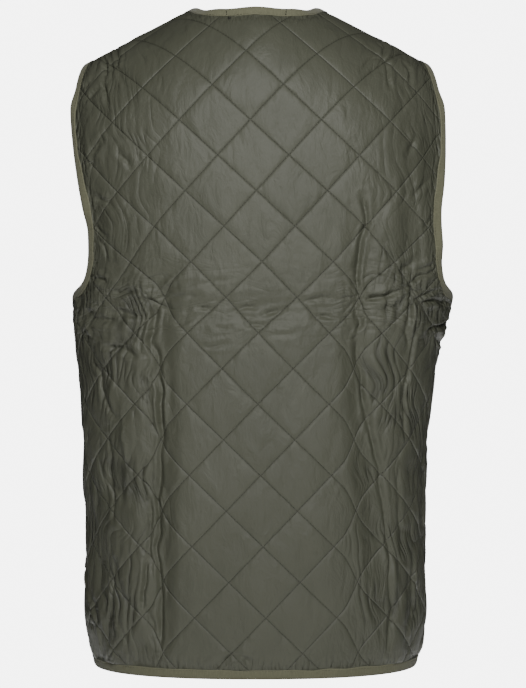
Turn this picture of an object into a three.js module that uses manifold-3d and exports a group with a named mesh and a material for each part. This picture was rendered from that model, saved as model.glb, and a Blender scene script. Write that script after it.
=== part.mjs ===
// A quilted vest with no sleeves, filled out as it is worn: a back, two fronts, a tape bound over
// the neck, armholes and hem, and a zip at the centre front.
// Millimetres, +Z up. The front faces -Y and the wearer's left side is +X. The origin lies midway
// between the two points where the shoulder seams meet the neck.
import * as THREE from "three";
import { mergeVertices } from "three/addons/utils/BufferGeometryUtils.js";
import Module from "manifold-3d";

const wasm = await Module();
wasm.setup();

// Cloth
const WALL = 2.0; // quilted cloth where it is stitched down
const PUFF = 2.6; // how far each diamond rises above its stitching
const SEAM_GAP = 0.4;
const DIAMOND = 50.8; // side of one quilted diamond, two inches
const QUILT_LEAN = 0.037; // the rows of diamonds lie level, and their columns lean by this slope
const QUILT_PIVOT = -342; // height at which a row of diamond points crosses the centre back
const DIAMOND_STEPS = [0, 0.23, 0.77]; // where one side of a diamond is divided
const PUFF_SHOULDER = 0.3; // share of a side over which a diamond rises

// Binding tape
const TAPE = 0.9; // stands this far off the cloth on both faces, with the cloth's edge in its fold
const TAPE_WIDTH = 9.5;
const TAPE_STEP = 13;
const TAPE_SLANT = 1.12; // a tape crosses the shoulder and side seams a little aslant
const NECK_TAPE_END = { back: TAPE_WIDTH, front: 26 }; // its length along the centre line
const FADE = 12; // the quilting rises to its full height over this distance from the tape

// Body
const HEM = -691;
const HEM_RISE = 4; // at the side seams
const UNDERARM = -306;
const NECK_HALF = 68; // centre line to the neck end of the shoulder seam
const SHOULDER_HALF = 179; // centre line to the outer end of the shoulder seam
const SHOULDER_SLOPE = 0.515;
const SHOULDER_ROUND = 15; // how softly the two slopes meet over the neck
const SHOULDER_DROP = { back: 140, front: 150 }; // height over which a panel leans in to the seam
const UPPER_RING = -150;

// Horizontal sections of the inside of the cloth, hem to shoulder. The chest hangs a little to the
// right of the hips and the neck, which is its shift, while the centre front hangs straight.
const SECTIONS = [
  { z: -720, half: 164.5, back: 114, front: 117, power: 2.55, shift: 0 },
  { z: -690, half: 166.5, back: 116, front: 119, power: 2.55, shift: 0 },
  { z: -665, half: 172, back: 118, front: 121, power: 2.55, shift: 0 },
  { z: -630, half: 174.8, back: 119, front: 123, power: 2.6, shift: 0 },
  { z: -530, half: 175.2, back: 120, front: 125, power: 2.6, shift: 0 },
  { z: -464, half: 177.6, back: 120, front: 126, power: 2.6, shift: 0 },
  { z: -416, half: 181.5, back: 120, front: 127, power: 2.6, shift: 0 },
  { z: -385, half: 184.6, back: 120, front: 128, power: 2.6, shift: -0.8 },
  { z: -353, half: 188.5, back: 120, front: 129, power: 2.6, shift: -2.2 },
  { z: -330, half: 193.5, back: 120, front: 130, power: 2.6, shift: -4.5 },
  { z: -306, half: 197.5, back: 120, front: 130, power: 2.6, shift: -7.5 },
  { z: -270, half: 199, back: 120, front: 130, power: 2.6, shift: -9.5 },
  { z: -200, half: 200, back: 119, front: 127, power: 2.6, shift: -6.5 },
  { z: -100, half: 200, back: 115, front: 122, power: 2.6, shift: -2 },
  { z: 60, half: 200, back: 110, front: 118, power: 2.6, shift: 0 },
];

// The largest folds, from one end to the other in a panel's own flat distances: soft troughs, and
// ridges where the depth is below zero
const FOLDS = [
  { panel: "back", u0: 103, v0: -282, u1: 97, v1: -440, reach: 24, depth: 5.5 },
  { panel: "back", u0: 97, v0: -440, u1: 99, v1: -655, reach: 24, depth: 7 },
  { panel: "back", u0: -98, v0: -240, u1: -104, v1: -372, reach: 24, depth: 4.5 },
  { panel: "back", u0: -104, v0: -372, u1: -132, v1: -600, reach: 26, depth: 5 },
  { panel: "back", u0: 205, v0: -322, u1: -205, v1: -312, reach: 20, depth: 2.2 },
  { panel: "front", u0: 105, v0: -330, u1: 98, v1: -655, reach: 26, depth: 5 },
  { panel: "front", u0: -100, v0: -330, u1: -108, v1: -655, reach: 26, depth: 4.5 },
  { panel: "front", u0: 190, v0: -318, u1: 40, v1: -328, reach: 20, depth: 2 },
  { panel: "front", u0: -190, v0: -318, u1: -40, v1: -330, reach: 20, depth: 2 },
  // ridges, where the tape holds the back's edges out: both armholes and the neck
  { panel: "back", u0: 192, v0: -225, u1: 210, v1: -95, reach: 14, depth: -4 },
  { panel: "back", u0: -192, v0: -262, u1: -210, v1: -95, reach: 14, depth: -4 },
  { panel: "back", u0: -48, v0: 4, u1: 48, v1: 4, reach: 14, depth: -3.5 },
];

// Cut edges of the panels in their own flat distances: across from the centre line, and up
const BACK_NECK = [
  { across: 0, up: -1 },
  { across: 32, up: 1 },
  { across: 54, up: 15.5 },
];
const FRONT_NECK = [
  { across: 6, up: -172 },
  { across: 22, up: -130 },
  { across: 42, up: -76 },
  { across: 57, up: -22 },
];
const BACK_ARMHOLE = [
  { across: 240, up: -301 },
  { across: 206, up: -291 },
  { across: 195, up: -272 },
  { across: 192, up: -245 },
  { across: 193, up: -216 },
  { across: 200, up: -185 },
  { across: 207, up: -151 },
  { across: 211, up: -119 },
  { across: 207, up: -86 },
];
const FRONT_ARMHOLE = [
  { across: 245, up: -299 },
  { across: 206, up: -276 },
  { across: 181, up: -236 },
  { across: 176, up: -190 },
  { across: 182, up: -150 },
  { across: 189, up: -112 },
  { across: 193, up: -70 },
];

// Zip
const ZIP_GAP = 6; // centre line to the edge of each front
const ZIP_TAPE_WIDTH = 18;
const TEETH = { half: 3, inner: -2.4, outer: 0.9 };
const ZIP_TAPE = { inner: -2.4, outer: -1.5 };
const ZIP_TOP = -178;
const SLIDER = { height: 12, wide: 4.8, waist: 3.4, inner: 1.2, outer: 3.4, below: 4 };
const BAIL = { length: 8.4, width: 2.2, bar: 1.1, rise: 3.6 };
const PULL = { bar: 1.3, eye: 3.4, width: 6.2, reach: 6.2, length: 25, thick: 1.6 };
const STOP = { height: 9, half: 4.4, inner: 1.2, outer: 3.2 };

const RING_SAMPLES = 64;
const ARC_SAMPLES = 40;
const NUDGE = 0.5; // step of the numerical normals

const ORDER = { back: 1, front: -1 };

// A smooth curve through one column of SECTIONS
function section(z, column) {
  const last = SECTIONS.length - 2;
  let i = 0;
  while (i < last && z > SECTIONS[i + 1].z) i += 1;
  const slope = (k) => {
    const lo = SECTIONS[Math.max(k - 1, 0)];
    const hi = SECTIONS[Math.min(k + 1, last + 1)];
    return (hi[column] - lo[column]) / (hi.z - lo.z);
  };
  const [a, b] = [SECTIONS[i], SECTIONS[i + 1]];
  const span = b.z - a.z;
  const t = THREE.MathUtils.clamp((z - a.z) / span, 0, 1);
  const [t2, t3] = [t * t, t * t * t];
  return (
    (2 * t3 - 3 * t2 + 1) * a[column] +
    (t3 - 2 * t2 + t) * span * slope(i) +
    (3 * t2 - 2 * t3) * b[column] +
    (t3 - t2) * span * slope(i + 1)
  );
}

// Points of a quarter section from the centre line round to the side seam, with the distance run
function quarter(panel, z) {
  const half = section(z, "half");
  const depth = section(z, panel);
  const power = section(z, "power");
  const points = [];
  for (let i = 0; i <= RING_SAMPLES; i += 1) {
    const turn = (i / RING_SAMPLES) * (Math.PI / 2);
    const r =
      ((Math.sin(turn) / half) ** power + (Math.cos(turn) / depth) ** power) ** (-1 / power);
    const point = { x: r * Math.sin(turn), y: r * Math.cos(turn), run: 0 };
    const before = points[i - 1];
    if (before) point.run = before.run + Math.hypot(point.x - before.x, point.y - before.y);
    points.push(point);
  }
  return points;
}

// Reads a list of points where its column reaches a value, carrying on straight past the ends
function at(points, column, value) {
  let i = 1;
  while (i < points.length - 1 && points[i][column] < value) i += 1;
  const [a, b] = [points[i - 1], points[i]];
  const t = (value - a[column]) / (b[column] - a[column]);
  const out = {};
  for (const key of Object.keys(a)) out[key] = a[key] + (b[key] - a[key]) * t;
  return out;
}

const sideSeam = (panel, z) => quarter(panel, z).at(-1).run;

// Height of the inside of the shoulder seam, so that the tape on it reaches zero at the neck
const ridgeHeight = (x) =>
  SHOULDER_SLOPE * (Math.hypot(NECK_HALF, SHOULDER_ROUND) - Math.hypot(x, SHOULDER_ROUND)) -
  WALL -
  TAPE;

// The quarter ellipse over which a panel leans in to the shoulder seam
function lean(panel, depth) {
  const drop = SHOULDER_DROP[panel];
  const points = [];
  for (let i = 0; i <= ARC_SAMPLES; i += 1) {
    const turn = (i / ARC_SAMPLES) * (Math.PI / 2);
    const point = { y: depth * Math.cos(turn), z: drop * Math.sin(turn), run: 0 };
    const before = points[i - 1];
    if (before) point.run = before.run + Math.hypot(point.y - before.y, point.z - before.z);
    points.push(point);
  }
  return points;
}

// A panel's smooth inner face: u across from the centre line, v up, both measured on the cloth
function bare(panel, u, v) {
  const run = Math.abs(u);
  const side = u < 0 ? -1 : 1;
  const start = ridgeHeight(at(quarter(panel, UPPER_RING), "run", run).x) - SHOULDER_DROP[panel];
  const foot = at(quarter(panel, Math.min(v, start)), "run", run);
  const place = new THREE.Vector3(side * foot.x, ORDER[panel] * foot.y, v);
  if (v > start) {
    const p = at(lean(panel, Math.max(foot.y, 1)), "run", v - start);
    place.y = ORDER[panel] * p.y;
    place.z = start + p.z;
  }
  const forward = Math.min(place.y, 0) / section(place.z, "front");
  place.x += section(place.z, "shift") * (1 - forward ** 2);
  return place;
}

// The flat height of the shoulder seam at a distance x from the centre line, and how far across
function shoulder(panel, x) {
  const start = ridgeHeight(x) - SHOULDER_DROP[panel];
  const foot = at(quarter(panel, start), "x", x);
  return { across: foot.run, up: start + lean(panel, foot.y).at(-1).run };
}

function normal(face, panel, u, v) {
  const alongU = face(panel, u + NUDGE, v).sub(face(panel, u - NUDGE, v));
  const alongV = face(panel, u, v + NUDGE).sub(face(panel, u, v - NUDGE));
  return alongV.cross(alongU).multiplyScalar(ORDER[panel]).normalize();
}

function foldDepth(panel, u, v) {
  let depth = 0;
  for (const fold of FOLDS) {
    if (fold.panel !== panel) continue;
    const [du, dv] = [fold.u1 - fold.u0, fold.v1 - fold.v0];
    const length = Math.hypot(du, dv);
    const along = ((u - fold.u0) * du + (v - fold.v0) * dv) / length;
    const off = Math.abs((u - fold.u0) * dv - (v - fold.v0) * du) / length;
    if (off >= fold.reach) continue;
    const ends =
      THREE.MathUtils.smoothstep(along, -fold.reach, fold.reach) *
      (1 - THREE.MathUtils.smoothstep(along, length - fold.reach, length + fold.reach));
    depth += fold.depth * ends * Math.cos((off / fold.reach) * (Math.PI / 2)) ** 2;
  }
  return depth;
}

// The inner face with its folds
const folded = (panel, u, v) =>
  bare(panel, u, v).addScaledVector(normal(bare, panel, u, v), -foldDepth(panel, u, v));

// A point at a height w above the inner face
const raised = (panel, u, v, w) =>
  folded(panel, u, v).addScaledVector(normal(folded, panel, u, v), w);

// Edges of the panels. Each is a line in a panel's flat distances that ends at the seams.

const vec = (across, up) => new THREE.Vector2(across, up);
const spline = (points, steps) =>
  new THREE.SplineCurve(points.map((p) => vec(p.across, p.up))).getPoints(steps);

const shoulderLine = (panel, steps) =>
  Array.from({ length: steps + 1 }, (_, i) => {
    const p = shoulder(panel, NECK_HALF + ((SHOULDER_HALF - NECK_HALF) * i) / steps);
    return vec(p.across, p.up);
  });

const onSide = (panel, v) => vec(sideSeam(panel, v), v);

const sideLine = (panel, steps) =>
  Array.from({ length: steps + 1 }, (_, i) =>
    onSide(panel, UNDERARM + ((HEM + HEM_RISE - UNDERARM) * i) / steps),
  );

function hemLine(panel) {
  const start = panel === "back" ? 0 : ZIP_GAP;
  const end = sideSeam(panel, HEM + HEM_RISE);
  const steps = 20;
  return Array.from({ length: steps + 1 }, (_, i) => {
    const u = start + ((end - start) * i) / steps;
    return vec(u, HEM + HEM_RISE * (u / end) ** 2);
  });
}

function armholeLine(panel) {
  const rows = panel === "back" ? BACK_ARMHOLE : FRONT_ARMHOLE;
  const under = { across: sideSeam(panel, UNDERARM), up: UNDERARM };
  return spline([under, ...rows, shoulder(panel, SHOULDER_HALF)], 60);
}

function neckLine(panel) {
  const end = shoulder(panel, NECK_HALF);
  if (panel === "front") return spline([...FRONT_NECK, end], 40);
  const half = [...BACK_NECK, end];
  const other = half.slice(1).map((p) => ({ across: -p.across, up: p.up })).reverse();
  return spline([...other, ...half], 80).slice(40);
}

// Rows about a step apart along an edge, each with the way into the panel for one tape width.
// The two ends are told where the tape's inner edge meets the seam, which both panels share.
function edgeRows(line, side, firstInner, lastInner) {
  const path = new THREE.CurvePath();
  for (let i = 1; i < line.length; i += 1) path.add(new THREE.LineCurve(line[i - 1], line[i]));
  const length = path.getLength();
  const count = Math.round(length / TAPE_STEP);
  const rows = Array.from({ length: count + 1 }, (_, i) => {
    const s = i / count;
    const ahead = path.getPointAt(Math.min(1, s + 2 / length));
    const along = ahead.sub(path.getPointAt(Math.max(0, s - 2 / length))).normalize();
    const way = vec(-along.y, along.x).multiplyScalar(side * TAPE_WIDTH);
    return { point: path.getPointAt(s), way };
  });
  rows[0].way = firstInner.clone().sub(rows[0].point);
  rows[count].way = lastInner.clone().sub(rows[count].point);
  return rows;
}

function boundRows(panel) {
  const onShoulder = (x) => vec(...Object.values(shoulder(panel, x)));
  const cross = TAPE_WIDTH * TAPE_SLANT;
  const collar = neckLine(panel);
  const collarInner = vec(collar[0].x, collar[0].y - NECK_TAPE_END[panel]);
  const hem = hemLine(panel);
  const hemInner = vec(hem[0].x, hem[0].y + TAPE_WIDTH);
  return {
    neck: edgeRows(collar, -1, collarInner, onShoulder(NECK_HALF + cross)),
    armhole: edgeRows(
      armholeLine(panel),
      1,
      onSide(panel, UNDERARM - cross),
      onShoulder(SHOULDER_HALF - cross),
    ),
    hem: edgeRows(hem, 1, hemInner, onSide(panel, HEM + HEM_RISE + TAPE_WIDTH)),
  };
}

const ROWS = { back: boundRows("back"), front: boundRows("front") };

const within = (rows, distance) =>
  rows.map(({ point, way }) => point.clone().addScaledVector(way, distance / TAPE_WIDTH));

const mirrored = (points) => points.map((p) => vec(-p.x, p.y));

// One half of a panel's outline, which stops short of the tapes, from the neck round to the hem
function halfOutline(panel) {
  const { neck, armhole, hem } = ROWS[panel];
  const inset = TAPE_WIDTH + SEAM_GAP;
  const gap = SEAM_GAP / 2;
  const [collar, hole, foot] = [within(neck, inset), within(armhole, inset), within(hem, inset)];
  const [collarEnd, holeStart, holeEnd] = [collar.at(-1), hole[0], hole.at(-1)];
  const seam = shoulderLine(panel, 16)
    .filter((p) => p.x > collarEnd.x + 3 && p.x < holeEnd.x - 3)
    .map((p) => vec(p.x, p.y - gap));
  const side = sideLine(panel, 30)
    .filter((p) => p.y < holeStart.y - 3 && p.y > foot.at(-1).y + 3)
    .map((p) => vec(p.x - gap, p.y));
  collarEnd.y -= gap;
  holeEnd.y -= gap;
  holeStart.x -= gap;
  foot.at(-1).x -= gap;
  return [...collar, ...seam, ...hole.reverse(), ...side, ...foot.reverse()];
}

function backOutline() {
  const half = halfOutline("back");
  return [...half, ...mirrored(half.slice(1, -1)).reverse()];
}

const frontOutline = (way) =>
  way > 0 ? halfOutline("front") : mirrored(halfOutline("front")).reverse();

// Quilting

function toLattice(u, v) {
  const y = v - QUILT_PIVOT;
  const x = u - QUILT_LEAN * y;
  return [(x - y) * Math.SQRT1_2, (x + y) * Math.SQRT1_2];
}

function fromLattice(a, b) {
  const y = (b - a) * Math.SQRT1_2;
  return [(a + b) * Math.SQRT1_2 + QUILT_LEAN * y, y + QUILT_PIVOT];
}

function edgeDistance(edges, u, v) {
  const point = vec(u, v);
  let least = Infinity;
  for (const edge of edges) {
    for (let i = 1; i < edge.length; i += 1) {
      const along = edge[i].clone().sub(edge[i - 1]);
      const from = point.clone().sub(edge[i - 1]);
      const t = THREE.MathUtils.clamp(from.dot(along) / along.lengthSq(), 0, 1);
      least = Math.min(least, from.addScaledVector(along, -t).length());
    }
  }
  return least;
}

// The edges of a panel where tape or the zip holds the cloth flat
function heldEdges(panel) {
  const { neck, armhole, hem } = ROWS[panel];
  const edges = [neck, armhole, hem].map((rows) => within(rows, TAPE_WIDTH));
  if (panel === "front") edges.push([vec(ZIP_GAP, HEM), vec(ZIP_GAP, FRONT_NECK[0].up)]);
  return edges;
}

function puff(edges, u, v) {
  const rise = toLattice(u, v).map((c) => {
    const share = THREE.MathUtils.euclideanModulo(c / DIAMOND, 1);
    const off = Math.min(share, 1 - share) / PUFF_SHOULDER;
    return 1 - (1 - Math.min(off, 1)) ** 2;
  });
  const clear = edgeDistance(edges, Math.abs(u), v);
  const fade = THREE.MathUtils.smoothstep(clear, 0, FADE);
  return PUFF * rise[0] * rise[1] * fade;
}

// Solids

function toManifold(geometry) {
  const bareGeometry = geometry.clone();
  bareGeometry.deleteAttribute("normal");
  bareGeometry.deleteAttribute("uv");
  const merged = mergeVertices(bareGeometry, 1e-4);
  return new wasm.Manifold(
    new wasm.Mesh({
      numProp: 3,
      vertProperties: merged.attributes.position.array,
      triVerts: new Uint32Array(merged.index.array),
    }),
  );
}

// A flat slab divided along the quilting. Its faces are slightly domed, so that no division is lost
// when it is cut, and its height only tells the outer face from the inner one.
const SLAB = { reach: 14, height: 10, dome: 1e-4 };

function slab() {
  const lines = [];
  for (let k = -SLAB.reach; k < SLAB.reach; k += 1) {
    for (const step of DIAMOND_STEPS) lines.push((k + step) * DIAMOND);
  }
  const count = lines.length;
  const positions = [];
  for (const way of [1, -1]) {
    for (const a of lines) {
      for (const b of lines) {
        const [u, v] = fromLattice(a, b);
        positions.push(u, v, way * (SLAB.height + SLAB.dome * (a * a + b * b)));
      }
    }
  }
  const low = count * count;
  const faces = [];
  const quad = (p, q, r, s) => faces.push(p, q, r, p, r, s);
  for (let i = 0; i < count - 1; i += 1) {
    for (let j = 0; j < count - 1; j += 1) {
      const [p, q, r, s] = [
        i * count + j,
        (i + 1) * count + j,
        (i + 1) * count + j + 1,
        i * count + j + 1,
      ];
      const rising = i % 3 === j % 3 || (i % 3) + (j % 3) !== 2;
      if (rising) {
        quad(p, q, r, s);
        quad(low + p, low + s, low + r, low + q);
      } else {
        quad(q, r, s, p);
        quad(low + s, low + r, low + q, low + p);
      }
    }
  }
  const rim = [];
  for (let i = 0; i < count - 1; i += 1) rim.push(i * count);
  for (let j = 0; j < count - 1; j += 1) rim.push((count - 1) * count + j);
  for (let i = count - 1; i > 0; i -= 1) rim.push(i * count + count - 1);
  for (let j = count - 1; j > 0; j -= 1) rim.push(j);
  rim.forEach((p, k) => {
    const q = rim[(k + 1) % rim.length];
    quad(p, low + p, low + q, q);
  });
  const geometry = new THREE.BufferGeometry();
  geometry.setAttribute("position", new THREE.Float32BufferAttribute(positions, 3));
  geometry.setIndex(faces);
  return geometry;
}

const QUILTED_SLAB = toManifold(slab());

// Cuts a panel out of the slab along its outline and lays it on the body
function panelSolid(panel, outline) {
  const depth = 200;
  const block = new THREE.ExtrudeGeometry(new THREE.Shape(outline), {
    depth,
    bevelEnabled: false,
  }).translate(0, 0, -depth / 2);
  const cut = QUILTED_SLAB.intersect(toManifold(block)).getMesh();
  const edges = heldEdges(panel);
  const positions = new Float32Array(cut.numVert * 3);
  for (let i = 0; i < cut.numVert; i += 1) {
    const [u, v, side] = cut.vertProperties.subarray(i * cut.numProp, i * cut.numProp + 3);
    const w = side > 0 ? WALL + puff(edges, u, v) : 0;
    raised(panel, u, v, w).toArray(positions, i * 3);
  }
  const geometry = new THREE.BufferGeometry();
  geometry.setAttribute("position", new THREE.BufferAttribute(positions, 3));
  geometry.setIndex(new THREE.BufferAttribute(new Uint32Array(cut.triVerts), 1));
  return facingOut(geometry);
}

function facingOut(geometry) {
  const p = geometry.attributes.position;
  const index = geometry.index.array;
  const [a, b, c] = [new THREE.Vector3(), new THREE.Vector3(), new THREE.Vector3()];
  let volume = 0;
  for (let i = 0; i < index.length; i += 3) {
    a.fromBufferAttribute(p, index[i]);
    b.fromBufferAttribute(p, index[i + 1]);
    c.fromBufferAttribute(p, index[i + 2]);
    volume += a.dot(b.cross(c));
  }
  if (volume < 0) {
    for (let i = 0; i < index.length; i += 3) {
      [index[i + 1], index[i + 2]] = [index[i + 2], index[i + 1]];
    }
  }
  geometry.computeVertexNormals();
  return geometry;
}

// Joins equal rings of points into a tube, closed on itself or capped at both ends
function loft(rings, closed) {
  const size = rings[0].length;
  const positions = rings.flat().flatMap((p) => p.toArray());
  const faces = [];
  const spans = closed ? rings.length : rings.length - 1;
  for (let i = 0; i < spans; i += 1) {
    const next = (i + 1) % rings.length;
    for (let k = 0; k < size; k += 1) {
      const l = (k + 1) % size;
      const [p, q, r, s] = [i * size + k, i * size + l, next * size + l, next * size + k];
      faces.push(p, q, r, p, r, s);
    }
  }
  if (!closed) {
    const flat = SECTION_FLAT[size];
    const last = (rings.length - 1) * size;
    for (const [p, q, r] of flat) {
      faces.push(p, r, q);
      faces.push(last + p, last + q, last + r);
    }
  }
  const geometry = new THREE.BufferGeometry();
  geometry.setAttribute("position", new THREE.Float32BufferAttribute(positions, 3));
  geometry.setIndex(faces);
  return facingOut(geometry);
}

// A bound edge's section: inward from the edge, and up from the cloth's inner face
const ROUND = 0.9;
const TAPE_SECTION = [
  [TAPE_WIDTH, -TAPE],
  [TAPE_WIDTH, WALL + TAPE],
  [ROUND, WALL + TAPE],
  [0, WALL + TAPE - ROUND],
  [0, ROUND - TAPE],
  [ROUND, -TAPE],
];
const ZIP_SECTION = [
  [SEAM_GAP, TEETH.inner],
  [ZIP_TAPE_WIDTH, ZIP_TAPE.inner],
  [ZIP_TAPE_WIDTH, ZIP_TAPE.outer],
  [TEETH.half, ZIP_TAPE.outer],
  [TEETH.half, TEETH.outer],
  [SEAM_GAP, TEETH.outer],
];

const flatten = (outline) =>
  THREE.ShapeUtils.triangulateShape(
    outline.map(([x, y]) => new THREE.Vector2(x, y)),
    [],
  );
const SECTION_FLAT = {
  [TAPE_SECTION.length]: flatten(TAPE_SECTION),
  [ZIP_SECTION.length]: flatten(ZIP_SECTION),
};

// The rings of a tape along one panel's edge
const tapeRings = (panel, edge, side) =>
  ROWS[panel][edge].map(({ point, way }) =>
    TAPE_SECTION.map(([d, w]) =>
      raised(
        panel,
        side * (point.x + (way.x * d) / TAPE_WIDTH),
        point.y + (way.y * d) / TAPE_WIDTH,
        w,
      ),
    ),
  );

function armholeBinding(side) {
  const behind = tapeRings("back", "armhole", side);
  const before = tapeRings("front", "armhole", side);
  return loft([...behind, ...before.reverse().slice(1, -1)], true);
}

// A tape that runs from the centre front round behind to the centre front again
function roundBinding(edge) {
  return loft(
    [
      ...tapeRings("front", edge, 1).slice(0, -1),
      ...tapeRings("back", edge, 1).reverse(),
      ...tapeRings("back", edge, -1).slice(1),
      ...tapeRings("front", edge, -1).reverse().slice(1),
    ],
    false,
  );
}

// Zip

function zipTape(way) {
  const rings = [];
  const count = 40;
  for (let i = 0; i <= count; i += 1) {
    const v = HEM + 0.5 + ((FRONT_NECK[0].up - HEM - 0.5) * i) / count;
    rings.push(ZIP_SECTION.map(([u, w]) => raised("front", way * u, v, w)));
  }
  return loft(rings, false);
}

// Lays a block drawn in (across, up, out) on the centre front at a height
function placeOnFront(solid, height) {
  const middle = folded("front", 0, height);
  const out = normal(folded, "front", 0, height);
  const across = new THREE.Vector3(1, 0, 0);
  const frame = new THREE.Matrix4().makeBasis(across, out.clone().cross(across), out);
  frame.setPosition(middle);
  return solid.applyMatrix4(frame);
}

const block = (width, height, depth, x, y, z) =>
  new THREE.BoxGeometry(width, height, depth).translate(x, y, z);

function fromManifold(solid) {
  const made = solid.getMesh();
  const positions = new Float32Array(made.numVert * 3);
  for (let i = 0; i < made.numVert; i += 1) {
    positions.set(made.vertProperties.subarray(i * made.numProp, i * made.numProp + 3), i * 3);
  }
  const geometry = new THREE.BufferGeometry();
  geometry.setAttribute("position", new THREE.BufferAttribute(positions, 3));
  geometry.setIndex(new THREE.BufferAttribute(new Uint32Array(made.triVerts), 1));
  return facingOut(geometry);
}

const SLIDER_HEIGHT = ZIP_TOP - SLIDER.below;
const PIVOT_OUT = SLIDER.outer + (BAIL.rise - BAIL.bar) / 2;

function slider() {
  const { height, wide, waist, inner, outer } = SLIDER;
  const shape = new THREE.Shape();
  shape.moveTo(-waist, -height / 2);
  shape.lineTo(waist, -height / 2);
  shape.lineTo(waist, -height * 0.1);
  shape.quadraticCurveTo(wide, 0, wide, height * 0.2);
  shape.lineTo(wide * 0.8, height / 2);
  shape.lineTo(-wide * 0.8, height / 2);
  shape.lineTo(-wide, height * 0.2);
  shape.quadraticCurveTo(-wide, 0, -waist, -height * 0.1);
  const plate = new THREE.ExtrudeGeometry(shape, {
    depth: outer - inner,
    bevelEnabled: false,
    curveSegments: 4,
  }).translate(0, 0, inner);
  const { length, width, bar, rise } = BAIL;
  const arch = toManifold(block(width, length, rise + 0.4, 0, 0, outer + rise / 2 - 0.2));
  const eye = toManifold(
    block(width + 2, length - 2 * bar, rise - bar, 0, 0, outer + (rise - bar) / 2),
  );
  return fromManifold(toManifold(plate).add(arch).subtract(eye));
}

// The pull tab hangs from a crossbar inside the slider's bail
function pull() {
  const { bar, eye, width, reach, length, thick } = PULL;
  const shape = new THREE.Shape();
  shape.moveTo(-width / 2, bar / 2);
  shape.lineTo(-width / 2, -reach - 2);
  shape.lineTo(-width * 0.42, -length + width * 0.4);
  shape.quadraticCurveTo(-width * 0.4, -length, 0, -length);
  shape.quadraticCurveTo(width * 0.4, -length, width * 0.42, -length + width * 0.4);
  shape.lineTo(width / 2, -reach - 2);
  shape.lineTo(width / 2, bar / 2);
  const hole = new THREE.Path();
  hole.moveTo(-eye / 2, -bar / 2);
  hole.lineTo(eye / 2, -bar / 2);
  hole.lineTo(eye / 2, -reach);
  hole.lineTo(-eye / 2, -reach);
  shape.holes.push(hole);
  const plate = new THREE.ExtrudeGeometry(shape, {
    depth: thick,
    bevelEnabled: false,
    curveSegments: 6,
  }).translate(0, 0, PIVOT_OUT - thick / 2);
  return fromManifold(toManifold(plate));
}

function stopBox() {
  const { height, half, inner, outer } = STOP;
  return block(2 * half, height, outer - inner, 0, 0, (inner + outer) / 2);
}

// Materials
const CLOTH = { color: 0x4f5146, roughness: 0.55, metalness: 0 };
const BRAID = { color: 0x62604a, roughness: 0.85, metalness: 0 };
const ZIP_CLOTH = { color: 0x35372e, roughness: 0.9, metalness: 0 };
const METAL = { color: 0x8c7a52, roughness: 0.35, metalness: 0.9 };

const vest = new THREE.Group();

function add(name, geometry, finish) {
  const mesh = new THREE.Mesh(geometry, new THREE.MeshStandardMaterial(finish));
  mesh.name = name;
  vest.add(mesh);
}

add("back", panelSolid("back", backOutline()), CLOTH);
for (const [side, way] of [["left", 1], ["right", -1]]) {
  add("front_" + side, panelSolid("front", frontOutline(way)), CLOTH);
  add("armhole_binding_" + side, armholeBinding(way), BRAID);
  add("zip_tape_" + side, zipTape(way), ZIP_CLOTH);
}
add("neck_binding", roundBinding("neck"), BRAID);
add("hem_binding", roundBinding("hem"), BRAID);
add("zip_box", placeOnFront(stopBox(), HEM + 7), METAL);
add("zip_slider", placeOnFront(slider(), SLIDER_HEIGHT), METAL);
add("zip_pull", placeOnFront(pull(), SLIDER_HEIGHT), METAL);

export default vest;
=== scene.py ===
"""Looks of a quilted vest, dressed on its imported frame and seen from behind.

Metres, +Z up. The front faces -Y and the wearer's left side is +X. Each panel is drawn flat, u
across from the centre line and v up, with its quilting, wrinkles and stitches, and is then laid on
the body's sections.
"""

import math

import bpy
import numpy as np
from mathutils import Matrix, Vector
from mathutils.geometry import delaunay_2d_cdt


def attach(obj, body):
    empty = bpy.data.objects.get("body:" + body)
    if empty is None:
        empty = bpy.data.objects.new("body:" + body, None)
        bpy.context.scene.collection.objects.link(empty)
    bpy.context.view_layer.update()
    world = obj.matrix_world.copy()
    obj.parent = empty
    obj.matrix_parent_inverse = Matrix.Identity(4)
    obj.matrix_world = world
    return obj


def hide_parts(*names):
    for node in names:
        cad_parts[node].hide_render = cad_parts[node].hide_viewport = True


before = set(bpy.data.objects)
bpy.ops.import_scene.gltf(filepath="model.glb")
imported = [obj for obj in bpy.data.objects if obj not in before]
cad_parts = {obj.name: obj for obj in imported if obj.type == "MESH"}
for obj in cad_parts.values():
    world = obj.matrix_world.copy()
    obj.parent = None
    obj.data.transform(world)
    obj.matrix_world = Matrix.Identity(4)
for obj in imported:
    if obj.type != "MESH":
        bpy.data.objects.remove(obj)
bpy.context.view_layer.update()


def table(columns, rows):
    """Rows as dictionaries under the columns' names."""
    return [dict(zip(columns.split(), row)) for row in rows]


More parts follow.
